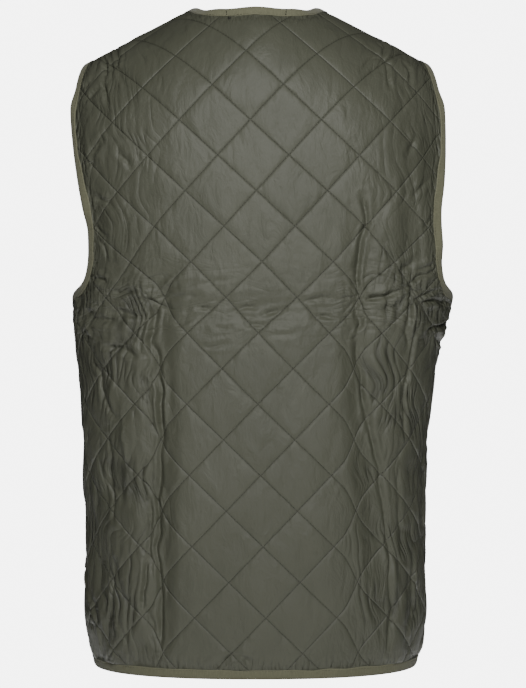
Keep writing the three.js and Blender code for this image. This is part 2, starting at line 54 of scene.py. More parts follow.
# Body, as in the part's source
HEM = -0.691
HEM_RISE = 0.004
UNDERARM = -0.306
NECK_HALF = 0.068
SHOULDER_HALF = 0.179
SHOULDER_SLOPE = 0.515
SHOULDER_ROUND = 0.015
SHOULDER_DROP = {"back": 0.140, "front": 0.150}
UPPER_RING = -0.150
SECTIONS = table("z half back front power shift", [
    (-0.72, 0.1645, 0.114, 0.117, 2.55, 0.0),
    (-0.69, 0.1665, 0.116, 0.119, 2.55, 0.0),
    (-0.665, 0.172, 0.118, 0.121, 2.55, 0.0),
    (-0.63, 0.1748, 0.119, 0.123, 2.6, 0.0),
    (-0.53, 0.1752, 0.12, 0.125, 2.6, 0.0),
    (-0.464, 0.1776, 0.12, 0.126, 2.6, 0.0),
    (-0.416, 0.1815, 0.12, 0.127, 2.6, 0.0),
    (-0.385, 0.1846, 0.12, 0.128, 2.6, -0.0008),
    (-0.353, 0.1885, 0.12, 0.129, 2.6, -0.0022),
    (-0.33, 0.1935, 0.12, 0.13, 2.6, -0.0045),
    (-0.306, 0.1975, 0.12, 0.13, 2.6, -0.0075),
    (-0.27, 0.199, 0.12, 0.13, 2.6, -0.0095),
    (-0.2, 0.2, 0.119, 0.127, 2.6, -0.0065),
    (-0.1, 0.2, 0.115, 0.122, 2.6, -0.002),
    (0.06, 0.2, 0.11, 0.118, 2.6, 0.0),
])

# Cut edges, across from the centre line and up, as in the part's source
BACK_NECK = [(0.0, -0.001), (0.032, 0.001), (0.054, 0.0155)]
FRONT_NECK = [(0.006, -0.172), (0.022, -0.130), (0.042, -0.076), (0.057, -0.022)]
BACK_ARMHOLE = [
    (0.240, -0.301),
    (0.206, -0.291),
    (0.195, -0.272),
    (0.192, -0.245),
    (0.193, -0.216),
    (0.200, -0.185),
    (0.207, -0.151),
    (0.211, -0.119),
    (0.207, -0.086),
]
FRONT_ARMHOLE = [
    (0.245, -0.299),
    (0.206, -0.276),
    (0.181, -0.236),
    (0.176, -0.190),
    (0.182, -0.150),
    (0.189, -0.112),
    (0.193, -0.070),
]

# Cloth
WALL = 0.0020
PUFF = 0.0012
LINING_PUFF = 0.0008
PUFF_SHOULDER = 0.30  # share of a side over which a diamond rises
GROOVE = {"reach": 0.0016, "share": 0.55}  # the sharp fall beside the stitching
DIAMOND = 0.0508
QUILT_LEAN = 0.037
QUILT_PIVOT = -0.342
TAKEN = 0.017  # width of cloth that each upright crease takes up below the arms
# Where one side of a diamond is divided for the mesh, in shares, finer beside the stitching
DIAMOND_STEPS = [
    0, 0.022, 0.05, 0.085, 0.13, 0.175, 0.22, 0.265, 0.31, 0.355, 0.40, 0.45,
    0.50, 0.55, 0.60, 0.645, 0.69, 0.735, 0.78, 0.825, 0.87, 0.915, 0.95, 0.978,
]
LINING_STEPS = [0, 0.06, 0.17, 0.30, 0.43, 0.57, 0.70, 0.83, 0.94]
EDGE_STEP = 0.0025
LEAST_GAP = 0.0009  # between mesh points
ROWS = 12  # rows of quilting to each side of the middle one
# Mesh points along a crease and to both sides of it, and in rings round a puckered point
CREASE_STEP = 0.0022
CREASE_ROWS = (-0.0026, -0.0012, 0, 0.0012, 0.0026)
RING = {"gap": 0.0012, "step": 0.0013}
WAIST = -0.308
# Heights of the small wrinkles in the mesh. The broad ones are higher by the last at the sides.
WRINKLE = {
    "upright": 0.0015,
    "level": 0.0014,
    "gathers": 0.0016,
    "broad": 0.0004,
    "broad_at_sides": 0.0011,
}
# Heights of the smallest wrinkles, which are in the material alone. The middle of the back has a
# share of the upright ones.
CRINKLE = {"upright": 0.0015, "level": 0.0012, "gathers": 0.0010, "all": 0.0023, "middle": 0.06}

# Binding tape
TAPE_WIDTH = 0.0095
TAPE_THICK = 0.0007
TAPE_STEP = 0.003
TAPE_JOIN = 0.022  # over this length a tape turns to cross a seam

# Stitches
STITCH = {"length": 0.0025, "pitch": 0.0037, "half": 0.00028, "high": 0.00018}
TAPE_STITCH = {"length": 0.0023, "pitch": 0.0032, "half": 0.00026, "high": 0.00024}
TAPE_STITCH_INSET = 0.0014
LOOP_STITCH = {"length": 0.0020, "pitch": 0.0026, "half": 0.00055, "high": 0.00025}
LOOP_STITCHES = [0.029, -0.0295]  # where the hanging loop inside the neck is stitched on
TACK = {"u": 0.0265, "v": -0.0115, "long": 0.0036, "rows": 5}

# Zip
ZIP_GAP = 0.006
ZIP_TAPE_WIDTH = 0.018
ZIP_TAPE_OUT = {"inner": -0.0024, "outer": -0.0015}
ZIP_TOP = -0.178
TOOTH = {"pitch": 0.0026, "reach": 0.0036, "tall": 0.0012, "inner": -0.0014, "outer": 0.0009}
TEETH = {"above_hem": 0.018, "below_top": 0.006}

# Camera, where the photo's is taken to stand. The focal length is in pixels of the photo.
SENSOR = 36
PHOTO_TALL = 688
FOCAL_LENGTH = 2461
CAMERA_PLACE = (-0.0079, 2.6, -0.353)

# Stage
FLOOR = {"half": 2, "z": -1.25}
SOFT_LIGHT = 0.045
BACKDROP = 6.0
LIGHTS = table("name place target size power", [
    ("key", (-0.10, 1.80, 0.42), (0, 0, -0.2), 0.7, 23),
    ("fill", (0, -3.0, -0.30), (0, 0, -0.36), 0.6, 75),
    ("floor_light", (0, 0, -0.80), (0, 0, FLOOR["z"]), 4.0, 80),
])

# The largest folds, as in the part's source, in millimetres: soft troughs, and ridges where the
# depth is below zero
FOLDS = table("panel reach depth path", [
    ("back", 24, 5.5, [(103, -282), (97, -440)]),
    ("back", 24, 7, [(97, -440), (99, -655)]),
    ("back", 24, 4.5, [(-98, -240), (-104, -372)]),
    ("back", 26, 5, [(-104, -372), (-132, -600)]),
    ("back", 20, 2.2, [(205, -322), (-205, -312)]),
    ("front", 26, 5, [(105, -330), (98, -655)]),
    ("front", 26, 4.5, [(-100, -330), (-108, -655)]),
    ("front", 20, 2, [(190, -318), (40, -328)]),
    ("front", 20, 2, [(-190, -318), (-40, -330)]),
    # where the tape holds the back's edges out: both armholes and the neck
    ("back", 14, -4, [(192, -225), (210, -95)]),
    ("back", 14, -4, [(-192, -262), (-210, -95)]),
    ("back", 14, -3.5, [(-48, 4), (48, 4)]),
])

# Creases of the back, in millimetres: how far each spreads to each side, its depth and its path. A
# crease with a depth below zero is a ridge.
BACK_CREASES = table("reach depth path", [
    # left upright crease, from the pinch at the waist to the hem
    (2.4, 3.2, [
        (113, -313), (108, -346), (101, -377), (94, -440), (99, -501), (101, -572), (98, -612),
        (99, -661),
    ]),
    (2, -1.6, [(117, -329), (109, -381), (99, -440)]),
    (3.2, -1.92, [(95, -381), (88, -440)]),
    (1.76, 3.52, [(115, -572), (115, -625)]),
    (2.4, 1.92, [(108, -511), (110, -584)]),
    (1.76, 1.92, [(110, -624), (104, -647)]),
    # right upright crease
    (2.4, 3.84, [(-102, -203), (-105, -232), (-99, -248), (-95, -272), (-93, -286), (-94, -304)]),
    (1.76, 1.92, [(-87, -280), (-90, -302)]),
    (2.4, 3.2, [(-98, -312), (-100, -339)]),
    (2, 2.24, [(-105, -323), (-97, -347)]),
    (2.4, 3.2, [
        (-100, -349), (-108, -381), (-118, -430), (-128, -461), (-135, -512), (-142, -573),
        (-143, -624), (-137, -667),
    ]),
    (2.4, 1.6, [(-151, -482), (-157, -574)]),
    # second right crease
    (2, -2.88, [(-159, -304), (-166, -339)]),
    (2.08, 2.56, [(-169, -339), (-165, -371), (-160, -410), (-156, -451)]),
    (2.4, 1.92, [(-154, -308), (-160, -359)]),
    # level wrinkles at the waist, from left to right
    (2.4, 3.52, [(188, -284), (159, -291)]),
    (2.4, 3.2, [(159, -299), (129, -299)]),
    (3.2, -2.4, [(111, -302), (95, -289), (77, -283)]),
    (2.4, 1.92, [(104, -308), (63, -302)]),
    (2.4, 3.52, [(157, -319), (123, -327)]),
    (4, 3.52, [(196, -326), (146, -329)]),
    (2.08, 3.84, [(159, -356), (140, -357), (118, -366)]),
    (2.4, 1.28, [(93, -331), (61, -327)]),
    (1.92, 2.56, [(66, -318), (52, -318)]),
    (2.4, 1.92, [(55, -355), (30, -353)]),
    (1.92, 1.6, [(43, -337), (27, -335)]),
    (2.4, 1.28, [(59, -290), (32, -286)]),
    (2.4, 2.56, [(29, -319), (-2, -314)]),
    (2.08, 2.88, [(13, -334), (-7, -334)]),
    (2.4, 2.88, [(-5, -321), (-23, -318)]),
    (2.4, 1.12, [(-10, -345), (-42, -339)]),
    (2.4, 2.24, [(-38, -311), (-60, -305), (-76, -305)]),
    (2.08, 2.56, [(-54, -325), (-77, -325)]),
    (2.4, 3.84, [(-103, -306), (-124, -304), (-147, -296)]),
    (3.2, 1.92, [(-118, -321), (-144, -314)]),
    (1.92, 3.84, [(-147, -296), (-160, -286), (-191, -275)]),
    (3.2, 2.56, [(-132, -283), (-162, -266)]),
    (2.4, 2.88, [(-162, -279), (-187, -271)]),
    (2.08, 3.84, [(-162, -305), (-184, -300)]),
    (2.08, 4.16, [(-165, -310), (-227, -309)]),
    (2.08, 3.84, [(-184, -338), (-250, -329)]),
    (2.4, 4.16, [(-206, -345), (-250, -347)]),
    (1.92, -2.24, [(-178, -340), (-192, -326)]),
    # below the arms and along the side seams
    (2.08, 4.16, [(212, -316), (220, -357)]),
    (2.08, -2.24, [(201, -326), (174, -347)]),
    (3.2, 2.56, [(244, -338), (240, -433)]),
    (2.4, 2.24, [(177, -361), (148, -431)]),
    (3.2, 2.24, [(189, -442), (234, -559)]),
    (2.4, 2.24, [(160, -451), (147, -533)]),
    (2.8, -1.92, [(138, -430), (129, -512)]),
    (2.8, -2.56, [(228, -580), (173, -641), (174, -671)]),
    (2.4, 2.24, [(149, -574), (156, -656)]),
    (2.08, 1.92, [(131, -603), (134, -665)]),
    (3.2, 2.56, [(-245, -370), (-238, -454)]),
    (2.4, 2.24, [(-213, -401), (-199, -484)]),
    (3.2, 2.24, [(-236, -485), (-230, -580)]),
    (2.4, 2.24, [(-205, -538), (-214, -622)]),
    (2.4, -2.24, [(-179, -576), (-173, -658)]),
    (2.4, 2.24, [(-218, -622), (-206, -672)]),
    # shoulders
    (1.92, 2.88, [(152, 0), (146, -57)]),
    (1.92, 2.56, [(160, -22), (154, -55)]),
    (2.08, 3.2, [(164, -41), (159, -73)]),
    (1.92, 3.52, [(159, -76), (158, -108)]),
    (2.4, 2.56, [(188, -101), (163, -84)]),
    (2.4, 1.92, [(192, -86), (174, -72)]),
    (2.4, 1.92, [(143, -62), (136, -88)]),
    (2.08, 2.56, [(-131, -5), (-130, -48)]),
    (2.08, 2.56, [(-133, -54), (-138, -90)]),
    (2.4, 2.56, [(-156, -52), (-165, -85)]),
    (2.08, 1.6, [(-120, -49), (-106, -72)]),
    # beside the arm tapes
    (3.2, 2.56, [(175, -156), (164, -144)]),
    (2.4, 2.56, [(143, -153), (133, -174)]),
    (2.4, 1.92, [(188, -170), (170, -163)]),
    (2.4, 2.24, [(181, -201), (157, -212)]),
    (2.08, 2.24, [(182, -228), (164, -247)]),
    (2.08, 1.92, [(175, -247), (161, -269)]),
    (2.4, 2.24, [(-164, -144), (-150, -163)]),
    (2.4, 2.24, [(-177, -185), (-158, -202)]),
    (2.4, 2.24, [(-181, -220), (-166, -239)]),
    # above the hem
    (3.2, 2.88, [(38, -676), (15, -662)]),
    (3.2, 2.56, [(15, -668), (3, -674)]),
])

# Creases of the fronts, which the photo doesn't show, of the same kinds and as uneven
FRONT_CREASES = table("reach depth path", [
    (2.4, 3.04, [(108, -322), (103, -371), (97, -432), (101, -508), (95, -577), (98, -655)]),
    (2.08, -1.76, [(116, -341), (108, -402)]),
    (2.4, 3.2, [(-101, -314), (-97, -362), (-106, -420), (-112, -497), (-104, -566), (-109, -650)]),
    (2.24, 1.92, [(-119, -470), (-124, -552)]),
    (2.4, 3.36, [(188, -312), (151, -318), (118, -315)]),
    (3.2, 2.88, [(201, -333), (158, -339)]),
    (2.4, 2.24, [(92, -321), (58, -329)]),
    (2.08, 1.76, [(84, -344), (49, -341)]),
    (2.4, 3.52, [(-187, -309), (-149, -321), (-114, -316)]),
    (3.2, 2.72, [(-204, -338), (-163, -342)]),
    (2.4, 2.08, [(-88, -327), (-51, -322)]),
    (2.08, 1.44, [(-79, -349), (-40, -353)]),
    (3.2, 2.4, [(236, -352), (229, -451)]),
    (2.72, 2.24, [(214, -470), (221, -566)]),
    (2.4, 2.08, [(167, -380), (156, -468)]),
    (2.4, 1.92, [(143, -541), (150, -640)]),
    (3.2, 2.56, [(-231, -361), (-224, -438)]),
    (2.72, 2.08, [(-209, -455), (-217, -559)]),
    (2.4, 1.92, [(-162, -398), (-153, -489)]),
    (2.4, 2.24, [(-147, -560), (-156, -648)]),
    (2.4, 2.24, [(164, -262), (132, -251)]),
    (2.4, 1.76, [(166, -213), (138, -206)]),
    (2.4, 2.08, [(-163, -246), (-129, -241)]),
    (2.4, 1.92, [(-165, -193), (-141, -181)]),
    (2.08, 2.4, [(143, 2), (139, -49)]),
    (2.08, 2.24, [(-138, -6), (-141, -61)]),
])

# Puckered points from which small folds spread, in millimetres and degrees
PINCHES = table("panel u v folds reach depth turn", [
    ("back", 115, -308, 9, 20, 2.6, 20),
    ("back", -96, -307, 8, 20, 2.6, 60),
    ("back", -153, -299, 7, 15, 2.2, 10),
    ("back", 150, -61, 8, 16, 2.2, 35),
    ("back", -130, -54, 7, 13, 1.6, 80),
    ("back", 83, -270, 7, 9, 0.7, 0),
    ("back", 37, -343, 7, 8, 0.6, 0),
    ("back", -103, -234, 7, 10, 1.0, 40),
    ("back", -121, -450, 7, 9, 0.8, 40),
    ("back", 99, -442, 7, 9, 0.8, 40),
    ("front", 109, -314, 8, 13, 1.4, 10),
    ("front", -107, -316, 9, 12, 1.3, 50),
    ("front", 141, -58, 7, 11, 1.2, 30),
    ("front", -139, -63, 8, 10, 1.1, 70),
])

ORDER = {"back": 1.0, "front": -1.0}
MM = 0.001
rng = np.random.default_rng(7)


# The body's surface


def section(z, column):
    heights = np.array([row["z"] for row in SECTIONS])
    values = np.array([row[column] for row in SECTIONS])
    last = len(heights) - 1
    before = np.maximum(np.arange(last + 1) - 1, 0)
    after = np.minimum(np.arange(last + 1) + 1, last)
    slopes = (values[after] - values[before]) / (heights[after] - heights[before])
    i = np.clip(np.searchsorted(heights, z) - 1, 0, last - 1)
    span = heights[i + 1] - heights[i]
    t = np.clip((z - heights[i]) / span, 0, 1)
    return (
        (2 * t**3 - 3 * t**2 + 1) * values[i]
        + (t**3 - 2 * t**2 + t) * span * slopes[i]
        + (3 * t**2 - 2 * t**3) * values[i + 1]
        + (t**3 - t**2) * span * slopes[i + 1]
    )


def run_along(*axes):
    """Distance run along curves whose coordinates are rows of arrays."""
    step = np.sqrt(sum(np.diff(axis, axis=1) ** 2 for axis in axes))
    return np.concatenate([np.zeros((len(step), 1)), np.cumsum(step, axis=1)], axis=1)


def length_along(line):
    """Distance run along one flat line, at each of its points."""
    return run_along(line[None, :, 0], line[None, :, 1])[0]


def unit(vectors):
    return vectors / np.linalg.norm(vectors, axis=1)[:, None]


def square_to(way):
    """Flat directions turned a quarter turn to the left."""
    return np.stack([-way[:, 1], way[:, 0]], axis=1)


def in_box(points, low, high):
    return ((points > low) & (points < high)).all(axis=1)


def quarter(panel, z):
    """x, y and the distance run along a quarter section at each height z, from the centre line."""
    turn = np.linspace(0, math.pi / 2, 129)[None, :]
    z = np.asarray(z, float)[:, None]
    half, depth, power = section(z, "half"), section(z, panel), section(z, "power")
    r = ((np.sin(turn) / half) ** power + (np.cos(turn) / depth) ** power) ** (-1 / power)
    x, y = r * np.sin(turn), r * np.cos(turn)
    return x, y, run_along(x, y)


def carried_on(values, run, where):
    """Values read where run reaches a distance, carried straight on past the end."""
    slope = (values[-1] - values[-2]) / (run[-1] - run[-2])
    inside = np.interp(where, run, values)
    return np.where(where > run[-1], values[-1] + (where - run[-1]) * slope, inside)


class Chart:
    """Looks up x and y of a panel's sections by height and by distance from the centre line."""

    STEP = 0.001
    RISE = 0.002

    def __init__(self, panel):
        self.heights = np.arange(-0.722, 0.062, self.RISE)
        self.runs = np.arange(0, 0.320, self.STEP)
        xs, ys, runs = quarter(panel, self.heights)
        self.x = np.array([carried_on(x, run, self.runs) for x, run in zip(xs, runs)])
        self.y = np.array([carried_on(y, run, self.runs) for y, run in zip(ys, runs)])
        self.seam = runs[:, -1]

    def at(self, z, run):
        i = np.clip((z - self.heights[0]) / self.RISE, 0, len(self.heights) - 1.001)
        j = np.clip(run / self.STEP, 0, len(self.runs) - 1.001)
        i0, j0 = i.astype(int), j.astype(int)
        s, t = i - i0, j - j0

        def read(values):
            low = values[i0, j0] * (1 - t) + values[i0, j0 + 1] * t
            high = values[i0 + 1, j0] * (1 - t) + values[i0 + 1, j0 + 1] * t
            return low * (1 - s) + high * s

        return read(self.x), read(self.y)


CHARTS = {panel: Chart(panel) for panel in ORDER}


def side_seam(panel, z):
    return np.interp(z, CHARTS[panel].heights, CHARTS[panel].seam)


def ridge_height(x):
    rise = math.hypot(NECK_HALF, SHOULDER_ROUND) - np.hypot(x, SHOULDER_ROUND)
    return SHOULDER_SLOPE * rise - 0.0029


def lean(drop, depth, run):
    """y and z after a distance up the quarter ellipse on which a panel leans in to the shoulder."""
    turn = np.linspace(0, math.pi / 2, 49)[None, :]
    y = depth[:, None] * np.cos(turn)
    z = np.broadcast_to(drop * np.sin(turn), y.shape)
    length = run_along(y, z)
    i = np.clip((length < run[:, None]).sum(axis=1), 1, length.shape[1] - 1)
    row = np.arange(len(depth))
    t = (run - length[row, i - 1]) / (length[row, i] - length[row, i - 1])
    return (
        y[row, i - 1] + (y[row, i] - y[row, i - 1]) * t,
        z[row, i - 1] + (z[row, i] - z[row, i - 1]) * t,
    )


def bare(panel, u, v):
    run, side = np.abs(u), np.where(u < 0, -1.0, 1.0)
    chart = CHARTS[panel]
    ring_x, _ = chart.at(np.full_like(v, UPPER_RING), run)
    start = ridge_height(ring_x) - SHOULDER_DROP[panel]
    x, y = chart.at(np.minimum(v, start), run)
    lean_y, lean_z = lean(SHOULDER_DROP[panel], np.maximum(y, 0.001), np.maximum(v - start, 0))
    over = v > start
    place = np.stack(
        [side * x, ORDER[panel] * np.where(over, lean_y, y), np.where(over, start + lean_z, v)],
        axis=1,
    )
    forward = np.minimum(place[:, 1], 0) / section(place[:, 2], "front")
    place[:, 0] += section(place[:, 2], "shift") * (1 - forward**2)
    return place


def surface(panel, u, v, height):
    """Points at a height above the smooth inner face."""
    nudge = 0.0005
    along_u = bare(panel, u + nudge, v) - bare(panel, u - nudge, v)
    along_v = bare(panel, u, v + nudge) - bare(panel, u, v - nudge)
    out = unit(np.cross(along_v, along_u) * ORDER[panel])
    return bare(panel, u, v) + out * np.broadcast_to(height, u.shape)[:, None]


def shoulder(panel, x):
    """The flat place of the shoulder seam at a distance x from the centre line."""
    start = float(ridge_height(x)) - SHOULDER_DROP[panel]
    xs, ys, runs = quarter(panel, [start])
    run, depth = np.interp(x, xs[0], runs[0]), np.interp(x, xs[0], ys[0])
    turn = np.linspace(0, math.pi / 2, 200)
    arc = run_along([depth * np.cos(turn)], [SHOULDER_DROP[panel] * np.sin(turn)])
    return float(run), start + float(arc[0, -1])


# Edges of the panels


def spline(points, steps):
    """A smooth curve through points, sampled evenly in its own parameter."""
    p = np.array(points)
    p = np.vstack([p[0], p, p[-1]])
    out = []
    for k in range(steps + 1):
        s = k / steps * (len(points) - 1)
        i = min(int(s), len(points) - 2)
        t = s - i
        a, b, c, d = p[i], p[i + 1], p[i + 2], p[i + 3]
        v0, v1 = (c - a) / 2, (d - b) / 2
        out.append(
            (2 * b - 2 * c + v0 + v1) * t**3 + (-3 * b + 3 * c - 2 * v0 - v1) * t**2 + v0 * t + b
        )
    return np.array(out)


def neck_line(panel):
    end = shoulder(panel, NECK_HALF)
    if panel == "front":
        return spline(FRONT_NECK + [end], 60)
    half = BACK_NECK + [end]
    other = [(-a, b) for a, b in reversed(half[1:])]
    return spline(other + half, 120)[60:]


def armhole_line(panel):
    rows = BACK_ARMHOLE if panel == "back" else FRONT_ARMHOLE
    under = (float(side_seam(panel, UNDERARM)), UNDERARM)
    return spline([under] + rows + [shoulder(panel, SHOULDER_HALF)], 80)


def hem_line(panel):
    start = 0.0 if panel == "back" else ZIP_GAP
    end = float(side_seam(panel, HEM + HEM_RISE))
    u = np.linspace(start, end, 60)
    return np.stack([u, HEM + HEM_RISE * (u / end) ** 2], axis=1)


def side_line(panel):
    v = np.linspace(UNDERARM, HEM + HEM_RISE, 120)
    return np.stack([side_seam(panel, v), v], axis=1)


def shoulder_line(panel):
    return np.array([shoulder(panel, x) for x in np.linspace(NECK_HALF, SHOULDER_HALF, 40)])


def evenly(line, step):
    """The same line with points a step apart."""
    length = length_along(line)
    where = np.linspace(0, length[-1], max(2, round(length[-1] / step)) + 1)
    return np.stack([np.interp(where, length, line[:, k]) for k in (0, 1)], axis=1)


LINES = {
    panel: {
        "neck": neck_line(panel),
        "armhole": armhole_line(panel),
        "hem": hem_line(panel),
        "side": side_line(panel),
        "shoulder": shoulder_line(panel),
    }
    for panel in ORDER
}


def outline(panel, side, step):
    """The cut edge of a panel. side is 1 or -1 for a front."""
    line = {name: evenly(points, step) for name, points in LINES[panel].items()}
    half = np.vstack(
        [
            line["neck"][:-1],
            line["shoulder"][:-1],
            line["armhole"][::-1][:-1],
            line["side"][:-1],
            line["hem"][::-1],
        ]
    )
    mirror = half * [-1, 1]
    if panel == "back":
        return np.vstack([half, mirror[1:-1][::-1]])
    return half if side > 0 else mirror[::-1]


def distance_to(lines, points):
    """How far each point is from the nearest of some lines."""
    least = np.full(len(points), np.inf)
    for line in lines:
        for a, b in zip(line[:-1], line[1:]):
            along = b - a
            t = np.clip(((points - a) @ along) / (along @ along), 0, 1)
            least = np.minimum(least, np.linalg.norm(points - a - t[:, None] * along, axis=1))
    return least


def inside(points, polygon):
    x, y = points[:, 0], points[:, 1]
    hit = np.zeros(len(points), bool)
    for (x0, y0), (x1, y1) in zip(polygon, np.roll(polygon, -1, axis=0)):
        if y0 == y1:
            continue
        crosses = (y0 > y) != (y1 > y)
        hit ^= crosses & (x < x0 + (y - y0) * (x1 - x0) / (y1 - y0))
    return hit


def one_side(points):
    """The same flat points folded over to the positive side."""
    return np.stack([np.abs(points[:, 0]), points[:, 1]], axis=1)


def from_tape(panel, points):
    """How far inside the inner edge of the tape, or of the zip's stitching, a point is."""
    lines = [evenly(LINES[panel][name], 0.006) for name in ("neck", "armhole", "hem")]
    if panel == "front":
        edge = ZIP_GAP - TAPE_WIDTH + 0.004
        lines.append(np.array([(edge, HEM), (edge, ZIP_TOP)]))
    return distance_to(lines, one_side(points)) - TAPE_WIDTH


def from_seam(panel, points, name):
    return distance_to([evenly(LINES[panel][name], 0.02)], one_side(points))


def seam_fade(panel, points):
    """How much of the relief is left beside the side seams and, from farther off, the shoulders."""
    side = smoothstep(from_seam(panel, points, "side"), 0, 0.007)
    return side * smoothstep(from_seam(panel, points, "shoulder"), 0, 0.026)


# Quilting and wrinkles


def smoothstep(x, low, high):
    t = np.clip((x - low) / (high - low), 0, 1)
    return t * t * (3 - 2 * t)


def taken_up(u, v):
    """How much cloth lies in the upright creases between the centre line and a flat place."""
    return TAKEN * smoothstep(np.abs(u), 0.088, 0.112) * smoothstep(-v, 0.22, 0.32)


def less_taken(u, v):
    """The flat place whose distance from the centre line is u once the creases' cloth is added."""
    low, high = np.abs(u) - TAKEN, np.abs(u)
    for _ in range(18):
        middle = (low + high) / 2
        short = middle + taken_up(middle, v) < np.abs(u)
        low, high = np.where(short, middle, low), np.where(short, high, middle)
    return np.sign(u) * high


def to_lattice(u, v):
    y = v - QUILT_PIVOT
    x = u + np.sign(u) * taken_up(u, v) - QUILT_LEAN * y
    return (x - y) * math.sqrt(0.5), (x + y) * math.sqrt(0.5)


def from_lattice(a, b):
    y = (b - a) * math.sqrt(0.5)
    u = (a + b) * math.sqrt(0.5) + QUILT_LEAN * y
    return less_taken(u, y + QUILT_PIVOT), y + QUILT_PIVOT


NOISE = rng.standard_normal((8, 128, 128))


def noise(u, v, scale_u, scale_v, layer):
    """Smooth noise in flat distances, with features about as large as the two scales."""
    x, y = u / scale_u + 40, v / scale_v + 40
    i, j = np.floor(x).astype(int), np.floor(y).astype(int)
    s, t = x - i, y - j
    s, t = s * s * (3 - 2 * s), t * t * (3 - 2 * t)
    grid = NOISE[layer]

    def corner(di, dj):
        return grid[(i + di) % 128, (j + dj) % 128]

    low = corner(0, 0) * (1 - s) + corner(1, 0) * s
    high = corner(0, 1) * (1 - s) + corner(1, 1) * s
    return low * (1 - t) + high * t


def crisp(value):
    """Noise turned into narrow troughs between rounded swells."""
    return 0.45 - np.exp(-np.abs(value) * 2.6)


def folds(panel, points):
    height = np.zeros(len(points))
    for row in FOLDS:
        if row["panel"] != panel:
            continue
        start, end = (np.array(place) * MM for place in row["path"])
        reach, length = row["reach"] * MM, np.linalg.norm(end - start)
        way = (end - start) / length
        along = (points - start) @ way
        off = np.abs((points - start) @ np.array([-way[1], way[0]]))
        ends = smoothstep(along, -reach, reach) - smoothstep(along, length - reach, length + reach)
        height -= row["depth"] * MM * ends * np.cos(np.clip(off / reach, 0, 1) * math.pi / 2) ** 2
    return height


def creases(panel, points):
    rows = BACK_CREASES if panel == "back" else FRONT_CREASES
    height = np.zeros(len(points))
    for row in rows:
        path, reach = np.array(row["path"]) * MM, row["reach"] * MM
        near = in_box(points, path.min(axis=0) - 5 * reach, path.max(axis=0) + 5 * reach)
        spots = points[near]
        bend = 0.002 * noise(spots[:, 0], spots[:, 1], 0.016, 0.016, 5)
        spots = spots + np.stack([bend, -bend], axis=1)
        off = distance_to([path], spots)
        length = length_along(path)[-1]
        ends = np.minimum(
            np.linalg.norm(spots - path[0], axis=1), np.linalg.norm(spots - path[-1], axis=1)
        )
        taper = 0.25 + 0.75 * smoothstep(ends, 0, min(0.012, 0.4 * length))
        profile = np.exp(-((off / reach) ** 1.5)) - 0.35 * np.exp(-(((off - 2.2 * reach) / reach) ** 2))
        height[near] -= row["depth"] * MM * taper * profile
    return height


def pinches(panel, points):
    height = np.zeros(len(points))
    for row in PINCHES:
        if row["panel"] != panel:
            continue
        from_middle = points - np.array([row["u"], row["v"]]) * MM
        r = np.linalg.norm(from_middle, axis=1)
        turn = np.arctan2(from_middle[:, 1], from_middle[:, 0])
        swing = 0.7 * np.sin(2 * turn + row["turn"]) + r / 0.02
        rays = crisp(np.cos(row["folds"] / 2 * turn + math.radians(row["turn"]) + swing * 0.6) * 1.2)
        reach = row["reach"] * MM
        height += row["depth"] * MM * rays * np.exp(-((r / reach) ** 2)) * smoothstep(r, 0, 0.002)
        height -= row["depth"] * MM * 0.8 * np.exp(-((r / 0.004) ** 2))
    return height


def wrinkles(points, edge):
    """Small uneven wrinkles: upright near the side seams, level at the waist, short at the tapes."""
    u, v = points[:, 0], points[:, 1]
    sway = 0.005 * noise(u, v, 0.03, 0.05, 5)
    sides = smoothstep(np.abs(u), 0.090, 0.150) * (1 - 0.4 * smoothstep(v, -0.25, -0.15))
    waist = np.exp(-(((v - WAIST) / 0.036) ** 2))
    upright = crisp(noise(u + sway, v, 0.0085, 0.085, 1))
    level = crisp(noise(u, v + sway, 0.055, 0.0095, 2))
    broad = noise(u + sway, v, 0.022, 0.045, 3)
    gathers = crisp(noise(u + v * 0.3, v - u * 0.1, 0.0055, 0.045, 4))
    patch = smoothstep(noise(u, v, 0.02, 0.02, 6), -0.6, 0.9)
    at_tape = np.exp(-np.maximum(edge, 0) / 0.008) * (0.3 + 0.7 * patch)
    return (
        WRINKLE["upright"] * upright * (0.06 + 0.94 * sides)
        + WRINKLE["level"] * level * waist * (0.15 + 0.85 * sides)
        + (WRINKLE["broad"] + WRINKLE["broad_at_sides"] * sides) * broad
        + WRINKLE["gathers"] * gathers * at_tape
    )


def quilting(points):
    """The quilting's rise: nothing at the stitches and about one in the middle of a diamond."""
    u, v = points[:, 0], points[:, 1]
    a, b = to_lattice(u, v)
    groove, dome, pucker = np.ones_like(u), np.ones_like(u), np.zeros_like(u)
    for across, along in ((a, b), (b, a)):
        share = np.abs((across / DIAMOND + 0.5) % 1 - 0.5)
        off = share * DIAMOND
        groove *= 1 - np.exp(-off / GROOVE["reach"])
        dome *= 1 - (1 - np.minimum(share / PUFF_SHOULDER, 1)) ** 2
        line = np.round(across / DIAMOND)
        wave = noise(along + line * 0.37, across, 0.0055, 0.05, 0)
        pucker += wave * np.exp(-off / 0.005) * (1 - np.exp(-off / 0.0012))
    return GROOVE["share"] * groove + (1 - GROOVE["share"]) * dome + 0.11 * pucker


def outer_and_inner(panel, points):
    """Heights of the cloth's two faces above the smooth inner face."""
    edge = from_tape(panel, points)
    quilt = quilting(points)
    relief = (creases(panel, points) + pinches(panel, points)) * smoothstep(edge, -0.001, 0.006)
    relief += wrinkles(points, edge) * smoothstep(edge, -0.001, 0.001)
    relief *= 0.6 + 0.4 * np.clip(quilt, 0, 1)
    fade, risen = seam_fade(panel, points), smoothstep(edge, -0.001, 0.008)
    base = folds(panel, points)
    outer = base + WALL + (PUFF * quilt * risen + relief) * fade
    inner = base + (0.6 * relief - LINING_PUFF * quilt * risen) * fade
    return outer, inner


# Panels


